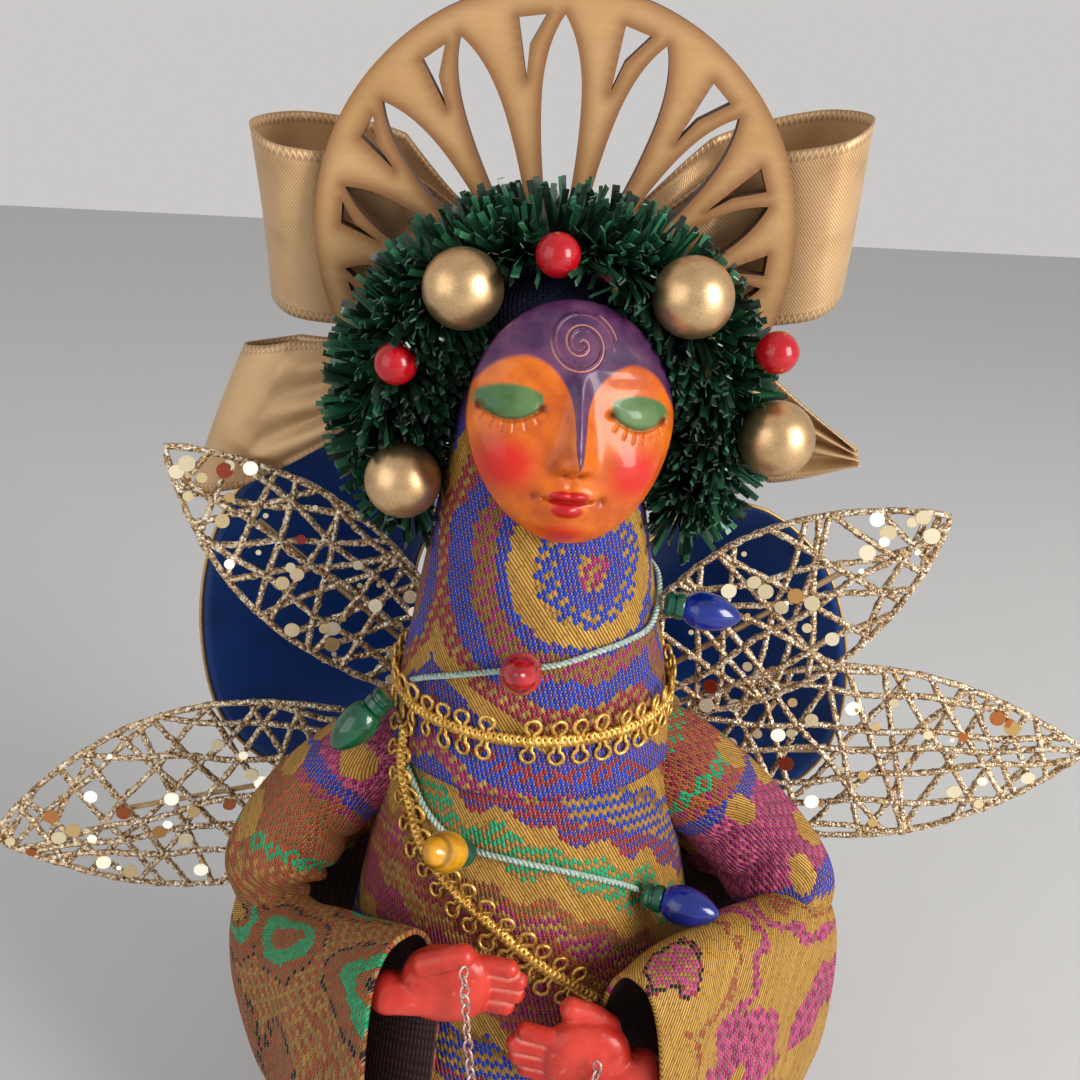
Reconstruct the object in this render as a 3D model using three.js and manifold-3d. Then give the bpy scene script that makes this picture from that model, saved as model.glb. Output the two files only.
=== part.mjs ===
// Cone-bodied doll angel: brocade robe and sleeves, clay face and hands, garland wreath, cut plywood halo,
// two ribbon bows, four glitter wings, a string of toy bulbs and a chain from hand to hand.
// Millimetres, +Z up, the figure faces -Y, origin in the middle of the underside of the base.
import * as THREE from 'three';
import { mergeVertices } from 'three/addons/utils/BufferGeometryUtils.js';
import Module from 'manifold-3d';

const wasm = await Module();
wasm.setup();

// Clearance between two pieces that touch, and the distance under which two corners are one
const seatGap = 0.3;
const weldDistance = 1e-4;

// Base disc, centre dowel and card cone
const baseThickness = 8;
const dowelRadius = 4;
const dowelSocketDepth = 3;
const dowelSides = 12;
const dowelTopHeight = 236;
const coneFootRadius = 59.5;
const coneHalfAngle = THREE.MathUtils.degToRad(10.92);
const coneWall = 3;
const coneLift = 1;
const coneTopHeight = 165;
const bodySides = 24;

// Robe, neck wrap and the stuffing inside it
const robeThickness = 1.2;
const robeHemHeight = 1.5;
const robeTopHeight = 164;
const foldCount = 9;
const foldDepth = 3.2;
const foldTopHeight = 105;
const foldSteps = 4;
const wrapThickness = 1.2;
const wrapHemHeight = 149;
const shoulderOverDowel = 7;
const crownOverDowel = 20;
const wrapShoulderHeight = dowelTopHeight + shoulderOverDowel;
const wrapCrownHeight = dowelTopHeight + crownOverDowel;

// Gold braid round the collar and down the chest
const braidWidth = 4.6;
const braidThickness = 1.6;
const collarOverHem = 13;
const collarHeight = wrapHemHeight + collarOverHem;
const greenOverCollar = 1;
const collarSides = 32;

// Arm wire, sleeves and hands
const armWireRadius = 0.9;
const sleeveThickness = 1.2;
const sleeveSides = 12;
const wristRadius = 4.6;
const wristDepth = 7;
const fingerRadius = 2.05;
const leftHandHeight = 111;
const rightHandHeight = 96;
const handStandOff = 10;
const wristSide = 25;
const cuffSide = 24;
const wristRun = 9;
const armHeight = 141;
const wireFront = dowelRadius + 5;
const shoulderSpread = 14;
const shoulderRise = 3;
const armEntryFront = -6;
const leftElbow = new THREE.Vector3(-66, -10, 104);
const rightElbow = new THREE.Vector3(72, -10, 106);
const leftCuffHeight = 112;
const rightCuffHeight = 98;
const upperArmFront = -9;
const upperArmHeight = 125;
const leftUpperArm = -52;
const rightUpperArm = 54;
const sleeveSquareness = 0.75;
const sleeveWeb = 1.1;

// Sleeve from shoulder to elbow: x, y and z of the middle, half the depth and half the height of the tube
const leftUpperSleeve = [
  [-22, -2, 149, 9, 11],
  [-36, -3, 141, 10, 12],
  [-51, -5, 127, 11, 13],
  [-60, -9, 112, 11, 12],
  [-60, -12, 102, 8, 9],
];
const rightUpperSleeve = [
  [22, -2, 149, 9, 11],
  [36, -3, 141, 10, 12],
  [53, -5, 126, 11, 13],
  [63, -9, 113, 11, 13],
  [64, -12, 104, 8, 9],
];

// Bell from elbow to cuff: how far along, its lowest and highest edge and half its thickness
const leftBell = [
  [0, 90, 107, 6],
  [0.1, 76, 109, 10.5],
  [0.35, 58, 111, 12],
  [0.7, 51, 119, 11.5],
  [1, 52, 126, 10.5],
];
const rightBell = [
  [0, 78, 112, 6],
  [0.1, 60, 116, 10.5],
  [0.35, 51, 118.5, 12],
  [0.7, 49, 121, 11.5],
  [1, 50, 120, 10.5],
];

// Hand: reach and lift of each fingertip
const fingers = [[25, 8.3], [27, 5.2], [26.5, 1.9], [24.5, -1.3]];
const fingerPitch = 3.3;
const fingerRoot = 13;
const palmHalf = new THREE.Vector3(9.5, 4.4, 8.8);
const palmMiddle = 10;
const palmLift = 3;
const wristLength = 8;
const thumbFoot = new THREE.Vector3(5.5, -2.2, 9.4);
const thumbTip = new THREE.Vector3(13.5, -3, 12.6);
const thumbRadius = 2.6;

// Face
const faceHalfWidth = 21;
const faceHalfHeight = 24;
const faceDepth = 10.5;
const noseHeight = 3.4;
const faceUnderDowel = 8.8;
const faceHeight = dowelTopHeight - faceUnderDowel;
const faceAzimuth = 13.5;
const faceSides = 24;

// Garland arch, balls and berries
const archRadius = 37;
const archUnderDowel = 10;
const archHeight = dowelTopHeight - archUnderDowel;
const archOffset = 1;
const archSpan = 250;
const garlandCoreRadius = 1.8;
const strandLength = 14.5;
const strandRadius = 0.8;
const stationsPerArc = 14;
const strandsPerStation = 6;
const strandClearance = 0.6;
const shortestStrand = 4;
const ballRadius = 8.1;
const berryRadius = 4.4;
const stemRadius = 0.7;
const ornamentClearance = 0.3;

// Middle of each ornament, from the middle of the arch: across, up the arch's plane and out of it
const ornamentPlaces = {
  gold_ball_upper_left: [-18.5, 31.9, 13.4],
  gold_ball_upper_right: [26.7, 32.4, 13.3],
  gold_ball_lower_left: [-30.6, -9.1, 17.2],
  gold_ball_lower_right: [47.7, 2.0, 11.5],
  berry_top: [-0.2, 39.6, 13.4],
  berry_left: [-31.7, 16.6, 15.8],
  berry_right: [45.5, 20.6, 10.0],
};

// Halo
const haloRadius = 52;
const haloThickness = 3;
const haloOverDowel = 22;
const haloHeight = dowelTopHeight + haloOverDowel;
const haloRim = 5.7;
const hubDrop = 18.7;
const petalStep = 18.9;
const petalsEachSide = 4;
const haloSides = 56;
const petalHalfWidth = 4.1;
const petalFoot = 14;
const petalShoulder = 17;
const petalTipBend = 6;
const petalFootBend = 32;
const besideNear = 8.2;
const besideFar = 3.2;
const besideFoot = [[6.6, 5.5], [7.9, 11.6]];

// Ribbons
const ribbonThickness = 0.8;
const goldWidth = 40;
const goldKnotOverDowel = 14;
const goldKnotHeight = dowelTopHeight + goldKnotOverDowel;
const goldKnotSize = new THREE.Vector3(15, 15, 24);
const goldRun = 14;
const goldBulge = 24;
const goldLean = THREE.MathUtils.degToRad(18);
const blueWidth = 38;
const blueKnotHeight = 150;
const blueKnotSize = new THREE.Vector3(16, 20, 22);
const blueRun = 14;
const blueShift = 22;
const blueBackShare = 0.35;
const ribbonSteps = 20;
const knotSides = 12;
const knotWaist = 0.86;

// Wings
const wingThickness = 1.2;
const netStrand = 1.3;
const wingRim = 1.4;
const wingWireRadius = 0.8;
const wingStemDepth = 10;
const wingStemClear = 7;
const wingRows = 7;
const wingColumns = 3;

// Light string and chain
const cordRadius = 0.7;
const cordSides = 8;
const wireSides = 6;
const socketRadius = 3;
const socketLength = 4.5;
const bulbRadius = 4.3;
const bulbLength = 12.5;
const bulbSides = 9;
const chainRadius = 1.5;
const chainLow = 62;
const leftGripLift = 12.2;
const leftGripFront = 7.4;
const leftGripReach = 14;
const rightGripLift = 6.5;
const rightGripFront = 6.1;
const rightGripReach = 8;

const robeOffset = seatGap + robeThickness;
const wrapOffset = robeOffset + seatGap + wrapThickness;
const up = new THREE.Vector3(0, 0, 1);
const degrees = THREE.MathUtils.degToRad;
const at = (x, y, z) => new THREE.Vector3(x, y, z);

function coneRadius(height) {
  return coneFootRadius - height * Math.tan(coneHalfAngle);
}

// A point outside the card cone; azimuth 0 is the front and grows towards +X
function onBody(azimuth, height, offset) {
  const radius = coneRadius(height) + offset;
  const angle = degrees(azimuth);
  return at(radius * Math.sin(angle), -radius * Math.cos(angle), height);
}

function outward(azimuth, elevation = 0) {
  const angle = degrees(azimuth);
  const rise = degrees(elevation);
  return at(Math.sin(angle) * Math.cos(rise), -Math.cos(angle) * Math.cos(rise), Math.sin(rise));
}

// Welds corners, drops slivers and turns the faces outwards
function welded(geometry) {
  const bare = new THREE.BufferGeometry();
  bare.setAttribute('position', geometry.getAttribute('position'));
  bare.setIndex(geometry.index);
  const merged = mergeVertices(bare, weldDistance);
  const place = merged.getAttribute('position');
  const corners = merged.index.array;
  const kept = [];
  let volume = 0;
  for (let i = 0; i < corners.length; i += 3) {
    const [a, b, c] = [corners[i], corners[i + 1], corners[i + 2]];
    if (a === b || b === c || a === c) continue;
    const [p, q, r] = [a, b, c].map((v) => new THREE.Vector3().fromBufferAttribute(place, v));
    volume += p.dot(q.cross(r));
    kept.push([a, b, c]);
  }
  const facing = volume < 0 ? kept.map(([a, b, c]) => [a, c, b]) : kept;
  merged.setIndex(facing.flat());
  return merged;
}

function solidOf(geometry) {
  const clean = welded(geometry);
  return new wasm.Manifold(new wasm.Mesh({
    numProp: 3,
    vertProperties: new Float32Array(clean.getAttribute('position').array),
    triVerts: new Uint32Array(clean.index.array),
  }));
}

function geometryOf(solid) {
  const mesh = solid.getMesh();
  const geometry = new THREE.BufferGeometry();
  geometry.setAttribute('position', new THREE.BufferAttribute(mesh.vertProperties, 3));
  geometry.setIndex(new THREE.BufferAttribute(mesh.triVerts, 1));
  return geometry;
}

function joined(geometries) {
  return geometryOf(wasm.Manifold.union(geometries.map(solidOf)));
}

function cut(geometry, tools) {
  return geometryOf(tools.reduce((solid, tool) => solid.subtract(solidOf(tool)), solidOf(geometry)));
}

// Turns a profile of [radius, height] pairs round the Z axis
function turned(profile, sides) {
  const points = profile.map(([radius, height]) => new THREE.Vector2(radius, height));
  return welded(new THREE.LatheGeometry(points, sides).rotateX(Math.PI / 2));
}

function tube(points, radius, steps, sides = cordSides) {
  const section = new THREE.Shape();
  for (let i = 0; i < sides; i++) {
    const angle = (2 * Math.PI * i) / sides;
    if (i === 0) section.moveTo(radius, 0);
    else section.lineTo(radius * Math.cos(angle), radius * Math.sin(angle));
  }
  const path = new THREE.CatmullRomCurve3(points, false, 'centripetal');
  return welded(new THREE.ExtrudeGeometry(section, { steps, extrudePath: path, curveSegments: 1 }));
}

// A skin over rings of corners: a closed loop of rings, or an open row with two end caps
function loft(rings, closed) {
  const count = rings[0].length;
  const corners = rings.flat();
  const index = [];
  const spans = closed ? rings.length : rings.length - 1;
  for (let s = 0; s < spans; s++) {
    const next = (s + 1) % rings.length;
    for (let i = 0; i < count; i++) {
      const j = (i + 1) % count;
      index.push(s * count + i, s * count + j, next * count + j);
      index.push(s * count + i, next * count + j, next * count + i);
    }
  }
  if (!closed) {
    [0, rings.length - 1].forEach((s) => {
      const middle = corners.length;
      const centre = rings[s].reduce((sum, p) => sum.add(p), at(0, 0, 0)).divideScalar(count);
      corners.push(centre);
      for (let i = 0; i < count; i++) {
        const pair = [s * count + i, s * count + ((i + 1) % count)];
        index.push(middle, ...(s === 0 ? pair.reverse() : pair));
      }
    });
  }
  const geometry = new THREE.BufferGeometry();
  geometry.setFromPoints(corners);
  geometry.setIndex(index);
  return welded(geometry);
}

const figure = new THREE.Group();

function finish(color, roughness, metalness = 0) {
  return new THREE.MeshStandardMaterial({ color, roughness, metalness });
}

const finishes = {
  wood: finish(0xc9a06a, 0.7),
  card: finish(0xa58a66, 0.9),
  wadding: finish(0xe6e0d4, 1),
  robe: finish(0xa8662e, 0.8),
  wrap: finish(0x4a3a8c, 0.8),
  sleeve: finish(0xb8752f, 0.8),
  gold: finish(0xd8a032, 0.35, 0.8),
  wire: finish(0x8a8a86, 0.4, 0.9),
  clay: finish(0xd8402c, 0.3),
  face: finish(0xe8762a, 0.2),
  garland: finish(0x1d5a34, 0.5),
  ball: finish(0xc8a878, 0.4, 0.7),
  berry: finish(0xc81e2c, 0.15),
  plywood: finish(0xc99a5a, 0.7),
  goldSatin: finish(0xc9a06c, 0.4),
  blueSatin: finish(0x12327c, 0.4),
  glitter: finish(0xd8c08a, 0.3, 0.6),
  cord: finish(0x9db5a4, 0.8),
  socket: finish(0x1e8a5a, 0.4),
  silver: finish(0xc8a8a0, 0.3, 0.9),
  redBulb: finish(0xd0182c, 0.1),
  blueBulb: finish(0x1a3ad0, 0.1),
  greenBulb: finish(0x148a54, 0.1),
  yellowBulb: finish(0xe8b81c, 0.1),
};

function add(name, geometry, material, group = figure) {
  const mesh = new THREE.Mesh(geometry, material);
  mesh.name = name;
  group.add(mesh);
  return mesh;
}

// Base, dowel and card cone
const plugRadius = (height) => coneRadius(height) - coneWall - seatGap;
const dowelBore = dowelRadius + seatGap;
const dowelFoot = baseThickness - dowelSocketDepth;

add('base_disc', turned([
  [0, 0],
  [plugRadius(0), 0],
  [plugRadius(baseThickness), baseThickness],
  [dowelBore, baseThickness],
  [dowelBore, dowelFoot],
  [0, dowelFoot],
], bodySides), finishes.wood);

add('centre_dowel', turned([
  [0, dowelFoot],
  [dowelRadius, dowelFoot],
  [dowelRadius, dowelTopHeight],
  [0, dowelTopHeight],
], dowelSides), finishes.wood);

const coneCapFoot = coneTopHeight - coneWall;
const coneShell = turned([
  [coneRadius(coneLift), coneLift],
  [coneRadius(coneTopHeight), coneTopHeight],
  [dowelBore, coneTopHeight],
  [dowelBore, coneCapFoot],
  [coneRadius(coneCapFoot) - coneWall, coneCapFoot],
  [coneRadius(coneLift) - coneWall, coneLift],
  [coneRadius(coneLift), coneLift],
], bodySides);

// Outside of the neck wrap, or a skin a given depth under it, from a foot height to the crown
function neckProfile(footHeight, depth) {
  const offset = wrapOffset - depth;
  const crown = wrapCrownHeight - depth;
  const shoulder = coneRadius(wrapShoulderHeight) + offset;
  const rounding = [0.35, 0.7, 0.9].map((share) => [
    shoulder * Math.sqrt(1 - share * share),
    wrapShoulderHeight + share * (crown - wrapShoulderHeight),
  ]);
  return [
    [coneRadius(footHeight) + offset, footHeight],
    [shoulder, wrapShoulderHeight],
    ...rounding,
    [0, crown],
  ];
}

const stuffingFoot = coneTopHeight + seatGap;
add('neck_stuffing', turned([
  [dowelBore, stuffingFoot],
  ...neckProfile(stuffingFoot, wrapThickness + seatGap),
  [0, dowelTopHeight + seatGap],
  [dowelBore, dowelTopHeight + seatGap],
  [dowelBore, stuffingFoot],
], bodySides), finishes.wadding);

const wrapOuter = neckProfile(wrapHemHeight, 0);
add('neck_wrap', turned([
  ...wrapOuter,
  ...neckProfile(wrapHemHeight, wrapThickness).reverse(),
  wrapOuter[0],
], bodySides), finishes.wrap);

// Robe: a thin cone of cloth whose skirt swings out in soft folds
function foldAt(azimuth, height) {
  const fall = Math.max(0, (foldTopHeight - height) / (foldTopHeight - robeHemHeight));
  return foldDepth * fall * (0.5 + 0.5 * Math.cos(foldCount * degrees(azimuth)));
}

function robeRing(height, offset) {
  const sides = foldCount * foldSteps;
  return Array.from({ length: sides }, (_, i) => {
    const azimuth = (360 * i) / sides;
    return onBody(azimuth, height, offset + foldAt(azimuth, height));
  });
}

const skirtHeight = foldTopHeight - robeHemHeight;
const robeHeights = [0, 1 / 3, 2 / 3, 1].map((share) => robeHemHeight + share * skirtHeight);
robeHeights.push(robeTopHeight);
const robeShell = loft([
  ...robeHeights.map((height) => robeRing(height, robeOffset)),
  ...[...robeHeights].reverse().map((height) => robeRing(height, seatGap)),
], true);

// Arm wire from hand to hand, through the shoulders and past the dowel
const frontRadius = (height) => coneRadius(height) + robeOffset;
const leftHandFront = -(frontRadius(leftHandHeight) + handStandOff);
const rightHandFront = -(frontRadius(rightHandHeight) + handStandOff);
const leftWrist = at(-wristSide, leftHandFront, leftHandHeight);
const rightWrist = at(wristSide, rightHandFront, rightHandHeight);
const leftCuff = at(-cuffSide, leftWrist.y, leftCuffHeight);
const rightCuff = at(cuffSide, rightWrist.y, rightCuffHeight);
const armEntry = frontRadius(armHeight);
const armRoute = [
  at(leftWrist.x + wristDepth, leftWrist.y, leftWrist.z),
  leftWrist,
  at(leftWrist.x - wristRun, leftWrist.y, leftWrist.z),
  leftElbow.clone().lerp(leftCuff, 0.55),
  leftElbow.clone().lerp(leftCuff, 0.2),
  at(leftUpperArm, upperArmFront, upperArmHeight),
  at(-armEntry, armEntryFront, armHeight),
  at(-shoulderSpread, -wireFront, armHeight + shoulderRise),
  at(shoulderSpread, -wireFront, armHeight + shoulderRise),
  at(armEntry, armEntryFront, armHeight),
  at(rightUpperArm, upperArmFront, upperArmHeight),
  rightElbow.clone().lerp(rightCuff, 0.2),
  rightElbow.clone().lerp(rightCuff, 0.55),
  at(rightWrist.x + wristRun, rightWrist.y, rightWrist.z),
  rightWrist,
  at(rightWrist.x - wristDepth, rightWrist.y, rightWrist.z),
];
const armSteps = 28;
add('arm_wire', tube(armRoute, armWireRadius, armSteps, wireSides), finishes.wire);
const armBore = tube(armRoute, armWireRadius + seatGap, armSteps, wireSides);

// Wings: each has a stem at its root, a tip, and its widest breadth
const wings = [
  { name: 'upper_left', root: [-9, 127], tip: [-90, 20, 207], breadth: 37, back: 3 },
  { name: 'upper_right', root: [9, 127], tip: [98, 20, 199], breadth: 42, back: 3 },
  { name: 'lower_left', root: [-9, 116], tip: [-144, 20, 95], breadth: 57, back: 7 },
  { name: 'lower_right', root: [9, 114], tip: [143, 20, 137], breadth: 52, back: 7 },
].map((wing) => {
  const [x, z] = wing.root;
  const skin = Math.sqrt(frontRadius(z) ** 2 - x * x);
  const root = at(x, skin + wing.back, z);
  const along = at(...wing.tip).sub(root);
  const length = along.length();
  along.normalize();
  const normal = new THREE.Vector3().crossVectors(along, up).normalize();
  if (normal.y < 0) normal.negate();
  const across = new THREE.Vector3().crossVectors(normal, along);
  return { ...wing, skin, root, along, across, normal, length };
});

// Stem through the robe and the card, bent along the back of the wing
function wingWireRoute(wing) {
  const behind = wingThickness / 2 + 2 * seatGap + wingWireRadius;
  const bend = wing.root.clone().addScaledVector(wing.normal, behind);
  const point = (share) => bend.clone().addScaledVector(wing.along, share * wing.length);
  return [
    at(wing.root.x, wing.skin - wingStemDepth, wing.root.z),
    at(wing.root.x, wing.skin - wingStemDepth / 2, wing.root.z),
    at(wing.root.x, wing.root.y - wingWireRadius, wing.root.z),
    bend,
    point(0.06),
    point(0.4),
    point(0.75),
  ];
}

const stemBores = wings.map((wing) => tube([
  at(wing.root.x, wing.skin - wingStemDepth - seatGap, wing.root.z),
  at(wing.root.x, wing.skin + wing.back, wing.root.z),
], wingWireRadius + seatGap, 1, wireSides));

add('cone_core', cut(coneShell, [armBore, ...stemBores]), finishes.card);
add('robe', cut(robeShell, [armBore, ...stemBores]), finishes.robe);

// Sleeves: a tube of cloth from the shoulder to the elbow, whose back reaches in to the robe, and a bell that
// hangs from the forearm
const rounded = (share) => Math.sign(share) * Math.abs(share) ** sleeveSquareness;

function sleeveRings(sections, inset, clearance) {
  return sections.map(({ centre, side, halfSide, halfRise, rise = up, web = 0 }) => (
    Array.from({ length: sleeveSides }, (_, i) => {
      const angle = (2 * Math.PI * i) / sleeveSides;
      const back = Math.max(0, Math.cos(angle) * Math.sign(side.y));
      const reach = 1 + web * Math.max(0, -Math.sin(angle)) * Math.min(1, 2 * back);
      const point = centre.clone();
      point.addScaledVector(side, (halfSide - inset) * rounded(Math.cos(angle)));
      point.addScaledVector(rise, (halfRise - inset) * reach * rounded(Math.sin(angle)));
      const least = coneRadius(point.z) + robeOffset + clearance + inset;
      const radius = Math.hypot(point.x, point.y);
      if (clearance > 0 && radius < least) {
        point.x *= least / radius;
        point.y *= least / radius;
      }
      return point;
    })
  ));
}

function bellSections(elbow, cuff, panel) {
  const along = cuff.clone().sub(elbow);
  const side = new THREE.Vector3().crossVectors(up, along).normalize();
  return panel.map(([share, low, high, half]) => ({
    centre: at(elbow.x + share * along.x, elbow.y + share * along.y, (low + high) / 2),
    side,
    halfSide: half,
    halfRise: (high - low) / 2,
  }));
}

function upperSections(route) {
  return route.map(([x, y, z, halfSide, halfRise], i) => {
    const before = route[Math.max(0, i - 1)];
    const after = route[Math.min(route.length - 1, i + 1)];
    const along = at(after[0] - before[0], after[1] - before[1], after[2] - before[2]).normalize();
    const side = new THREE.Vector3().crossVectors(up, along).normalize();
    const rise = new THREE.Vector3().crossVectors(along, side);
    return { centre: at(x, y, z), side, rise, halfSide, halfRise, web: sleeveWeb };
  });
}

const robeCut = loft(robeHeights.map((height) => robeRing(height, robeOffset + seatGap)));
const wrapCut = turned([
  [0, wrapHemHeight - seatGap],
  ...neckProfile(wrapHemHeight - seatGap, -2 * seatGap),
], bodySides);

function sleeve(upperRoute, elbow, cuff, panel) {
  const upper = upperSections(upperRoute);
  const bell = bellSections(elbow, cuff, panel);
  const mouth = bellSections(elbow, cuff, [...panel.slice(0, -1), [1.06, ...panel.at(-1).slice(1)]]);
  const hug = foldDepth / 2 + 2 * seatGap;
  const outside = joined([loft(sleeveRings(upper, 0, 0)), loft(sleeveRings(bell, 0, hug))]);
  const hollow = [
    loft(sleeveRings(upper, sleeveThickness, 0)),
    loft(sleeveRings(mouth, sleeveThickness, hug)),
  ];
  return cut(outside, [...hollow, robeCut, wrapCut]);
}

add('left_sleeve', sleeve(leftUpperSleeve, leftElbow, leftCuff, leftBell), finishes.sleeve);
add('right_sleeve', sleeve(rightUpperSleeve, rightElbow, rightCuff, rightBell), finishes.sleeve);

// Hands: wrist, palm, four fingers and a thumb, fingers along +X and the thumb side up
function capsule(from, to, radius) {
  const along = to.clone().sub(from);
  const geometry = new THREE.CapsuleGeometry(radius, along.length(), 2, 6, 1);
  geometry.applyQuaternion(new THREE.Quaternion().setFromUnitVectors(at(0, 1, 0), along.normalize()));
  const middle = from.clone().add(to).multiplyScalar(0.5);
  return geometry.translate(middle.x, middle.y, middle.z);
}

function hand() {
  const palm = new THREE.SphereGeometry(1, 12, 6).scale(...palmHalf).translate(palmMiddle, 0, palmLift);
  const wrist = capsule(at(-wristLength / 4, 0, 0), at(0.75 * wristLength, 0, 0), wristRadius);
  const thumb = capsule(thumbFoot, thumbTip, thumbRadius);
  const row = fingers.map(([tip, lift], i) => (
    capsule(at(fingerRoot, 0, palmLift + (1.5 - i) * fingerPitch), at(tip - fingerRadius, -0.8, lift), fingerRadius)
  ));
  return joined([wrist, palm, thumb, ...row]);
}

const wireSocket = tube(
  [at(-10, 0, 0), at(wristDepth + seatGap, 0, 0)],
  armWireRadius + 3 * seatGap,
  1,
  wireSides,
);
const handGeometry = cut(hand(), [wireSocket]);
const leftHand = add('left_hand', handGeometry, finishes.clay);
leftHand.position.copy(leftWrist);
const rightHand = add('right_hand', handGeometry.clone(), finishes.clay);
rightHand.position.copy(rightWrist);
rightHand.rotation.z = Math.PI;

// Face: a domed egg with brow, nose and lips, flat at the back, seated on the front of the neck
function faceBulge(across, rise) {
  const edge = Math.min(1, Math.hypot(across, rise));
  const dome = faceDepth * Math.sqrt(1 - edge * edge * 0.94) + 1;
  const nose = noseHeight * Math.exp(-((across / 0.13) ** 2)) * Math.exp(-(((rise + 0.12) / 0.2) ** 2));
  const lips = 1.4 * Math.exp(-((across / 0.2) ** 2) - (((rise + 0.55) / 0.09) ** 2));
  const sockets = [-0.42, 0.42].map((x) => (
    Math.exp(-(((across - x) / 0.24) ** 2) - (((rise - 0.12) / 0.13) ** 2))
  ));
  return dome + nose + lips - 0.9 * (sockets[0] + sockets[1]);
}

function faceRing(share, height) {
  return Array.from({ length: faceSides }, (_, i) => {
    const angle = (2 * Math.PI * i) / faceSides;
    const across = share * Math.sin(angle);
    const rise = share * Math.cos(angle);
    const taper = 1 - 0.1 * Math.max(0, -rise);
    return at(
      faceHalfWidth * across * taper,
      faceHalfHeight * rise,
      height === undefined ? faceBulge(across, rise) : height,
    );
  });
}

const faceShares = [0.98, 0.88, 0.76, 0.64, 0.52, 0.4, 0.27, 0.13];
const faceMesh = add('face', loft([
  faceRing(0.9, 0),
  faceRing(1, 1.2),
  ...faceShares.map((share) => faceRing(share)),
]), finishes.face);
const faceOut = outward(faceAzimuth, THREE.MathUtils.radToDeg(coneHalfAngle));
const faceRight = new THREE.Vector3().crossVectors(up, faceOut).normalize();
const faceUp = new THREE.Vector3().crossVectors(faceOut, faceRight);
faceMesh.position.copy(onBody(faceAzimuth, faceHeight, wrapOffset + seatGap));
faceMesh.quaternion.setFromRotationMatrix(new THREE.Matrix4().makeBasis(faceRight, faceUp, faceOut));

// Garland arch: it lies in a plane that leans forward with the back of the cone, just before the halo
const leanUp = at(0, -Math.sin(coneHalfAngle), Math.cos(coneHalfAngle));
const leanOut = at(0, -Math.cos(coneHalfAngle), -Math.sin(coneHalfAngle));
const haloFront = at(0, coneRadius(haloHeight) + wrapOffset + seatGap / Math.cos(coneHalfAngle), haloHeight);
const archBack = haloFront.clone().addScaledVector(leanUp, (archHeight - haloHeight) / leanUp.z);
const archCentre = archBack.addScaledVector(leanOut, strandLength + seatGap).setX(archOffset);

function archRadial(angle) {
  return at(Math.sin(angle), 0, 0).addScaledVector(leanUp, Math.cos(angle));
}

function archPoint(angle) {
  return archCentre.clone().addScaledVector(archRadial(angle), archRadius);
}

const ornaments = Object.entries(ornamentPlaces).map(([name, [across, rise, out]]) => {
  const isBerry = name.startsWith('berry');
  const radius = isBerry ? berryRadius : ballRadius;
  const material = isBerry ? finishes.berry : finishes.ball;
  const centre = archCentre.clone().add(at(across, 0, 0));
  centre.addScaledVector(leanUp, rise).addScaledVector(leanOut, out);
  const least = coneRadius(centre.z) + wrapOffset + radius + ornamentClearance;
  const reach = Math.hypot(centre.x, centre.y);
  if (centre.z < wrapCrownHeight && reach < least) centre.multiply(at(least / reach, least / reach, 1));
  const toWire = archPoint(Math.atan2(across, rise)).sub(centre);
  const stem = toWire.length() - garlandCoreRadius - seatGap;
  return { name, centre, radius, material, stem, inward: toWire.normalize() };
});

ornaments.forEach(({ name, centre, radius, stem, inward, material }) => {
  const bands = radius < ballRadius ? 5 : 6;
  const start = Math.asin(stemRadius / radius);
  const ball = Array.from({ length: bands + 1 }, (_, i) => {
    const angle = start + (i * (Math.PI - start)) / bands;
    return [i === bands ? 0 : radius * Math.sin(angle), -radius * Math.cos(angle)];
  });
  const geometry = turned([[0, -stem], [stemRadius, -stem], ...ball], 2 * bands);
  const mesh = add(name, geometry, material);
  mesh.position.copy(centre);
  mesh.quaternion.setFromUnitVectors(at(0, 0, -1), inward);
});

// How far a strand can reach before it meets the neck, the halo, the face or an ornament
function isInFace(point) {
  const local = point.clone().sub(faceMesh.position);
  const rise = local.dot(faceUp) / (faceHalfHeight + strandClearance);
  const across = local.dot(faceRight) / (faceHalfWidth + strandClearance);
  const depth = local.dot(faceOut);
  return depth > -strandClearance && rise * rise + across * across < 1;
}

function isFree(point) {
  const radius = Math.hypot(point.x, point.y);
  if (point.z < wrapCrownHeight && radius < coneRadius(point.z) + wrapOffset + strandClearance) return false;
  if (point.clone().sub(haloFront).dot(leanOut) < seatGap / 2) return false;
  if (isInFace(point)) return false;
  return ornaments.every(({ centre, radius: size, stem, inward }) => {
    if (point.distanceTo(centre) < size + strandClearance) return false;
    const along = point.clone().sub(centre).dot(inward);
    const foot = centre.clone().addScaledVector(inward, along);
    return along < 0 || along > stem || point.distanceTo(foot) > stemRadius + strandRadius + strandClearance;
  });
}

function archOut(angle, turn) {
  return archRadial(angle).multiplyScalar(Math.cos(turn)).addScaledVector(leanOut, Math.sin(turn));
}

function strand(angle, turn, length) {
  const out = archOut(angle, turn);
  const foot = archPoint(angle);
  let reach = garlandCoreRadius;
  while (reach < length && isFree(foot.clone().addScaledVector(out, reach + 0.5))) reach += 0.5;
  if (reach < shortestStrand) return null;
  const cone = new THREE.ConeGeometry(strandRadius, reach, 3).translate(0, reach / 2, 0);
  cone.applyQuaternion(new THREE.Quaternion().setFromUnitVectors(at(0, 1, 0), out));
  return cone.translate(foot.x, foot.y, foot.z);
}

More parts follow.
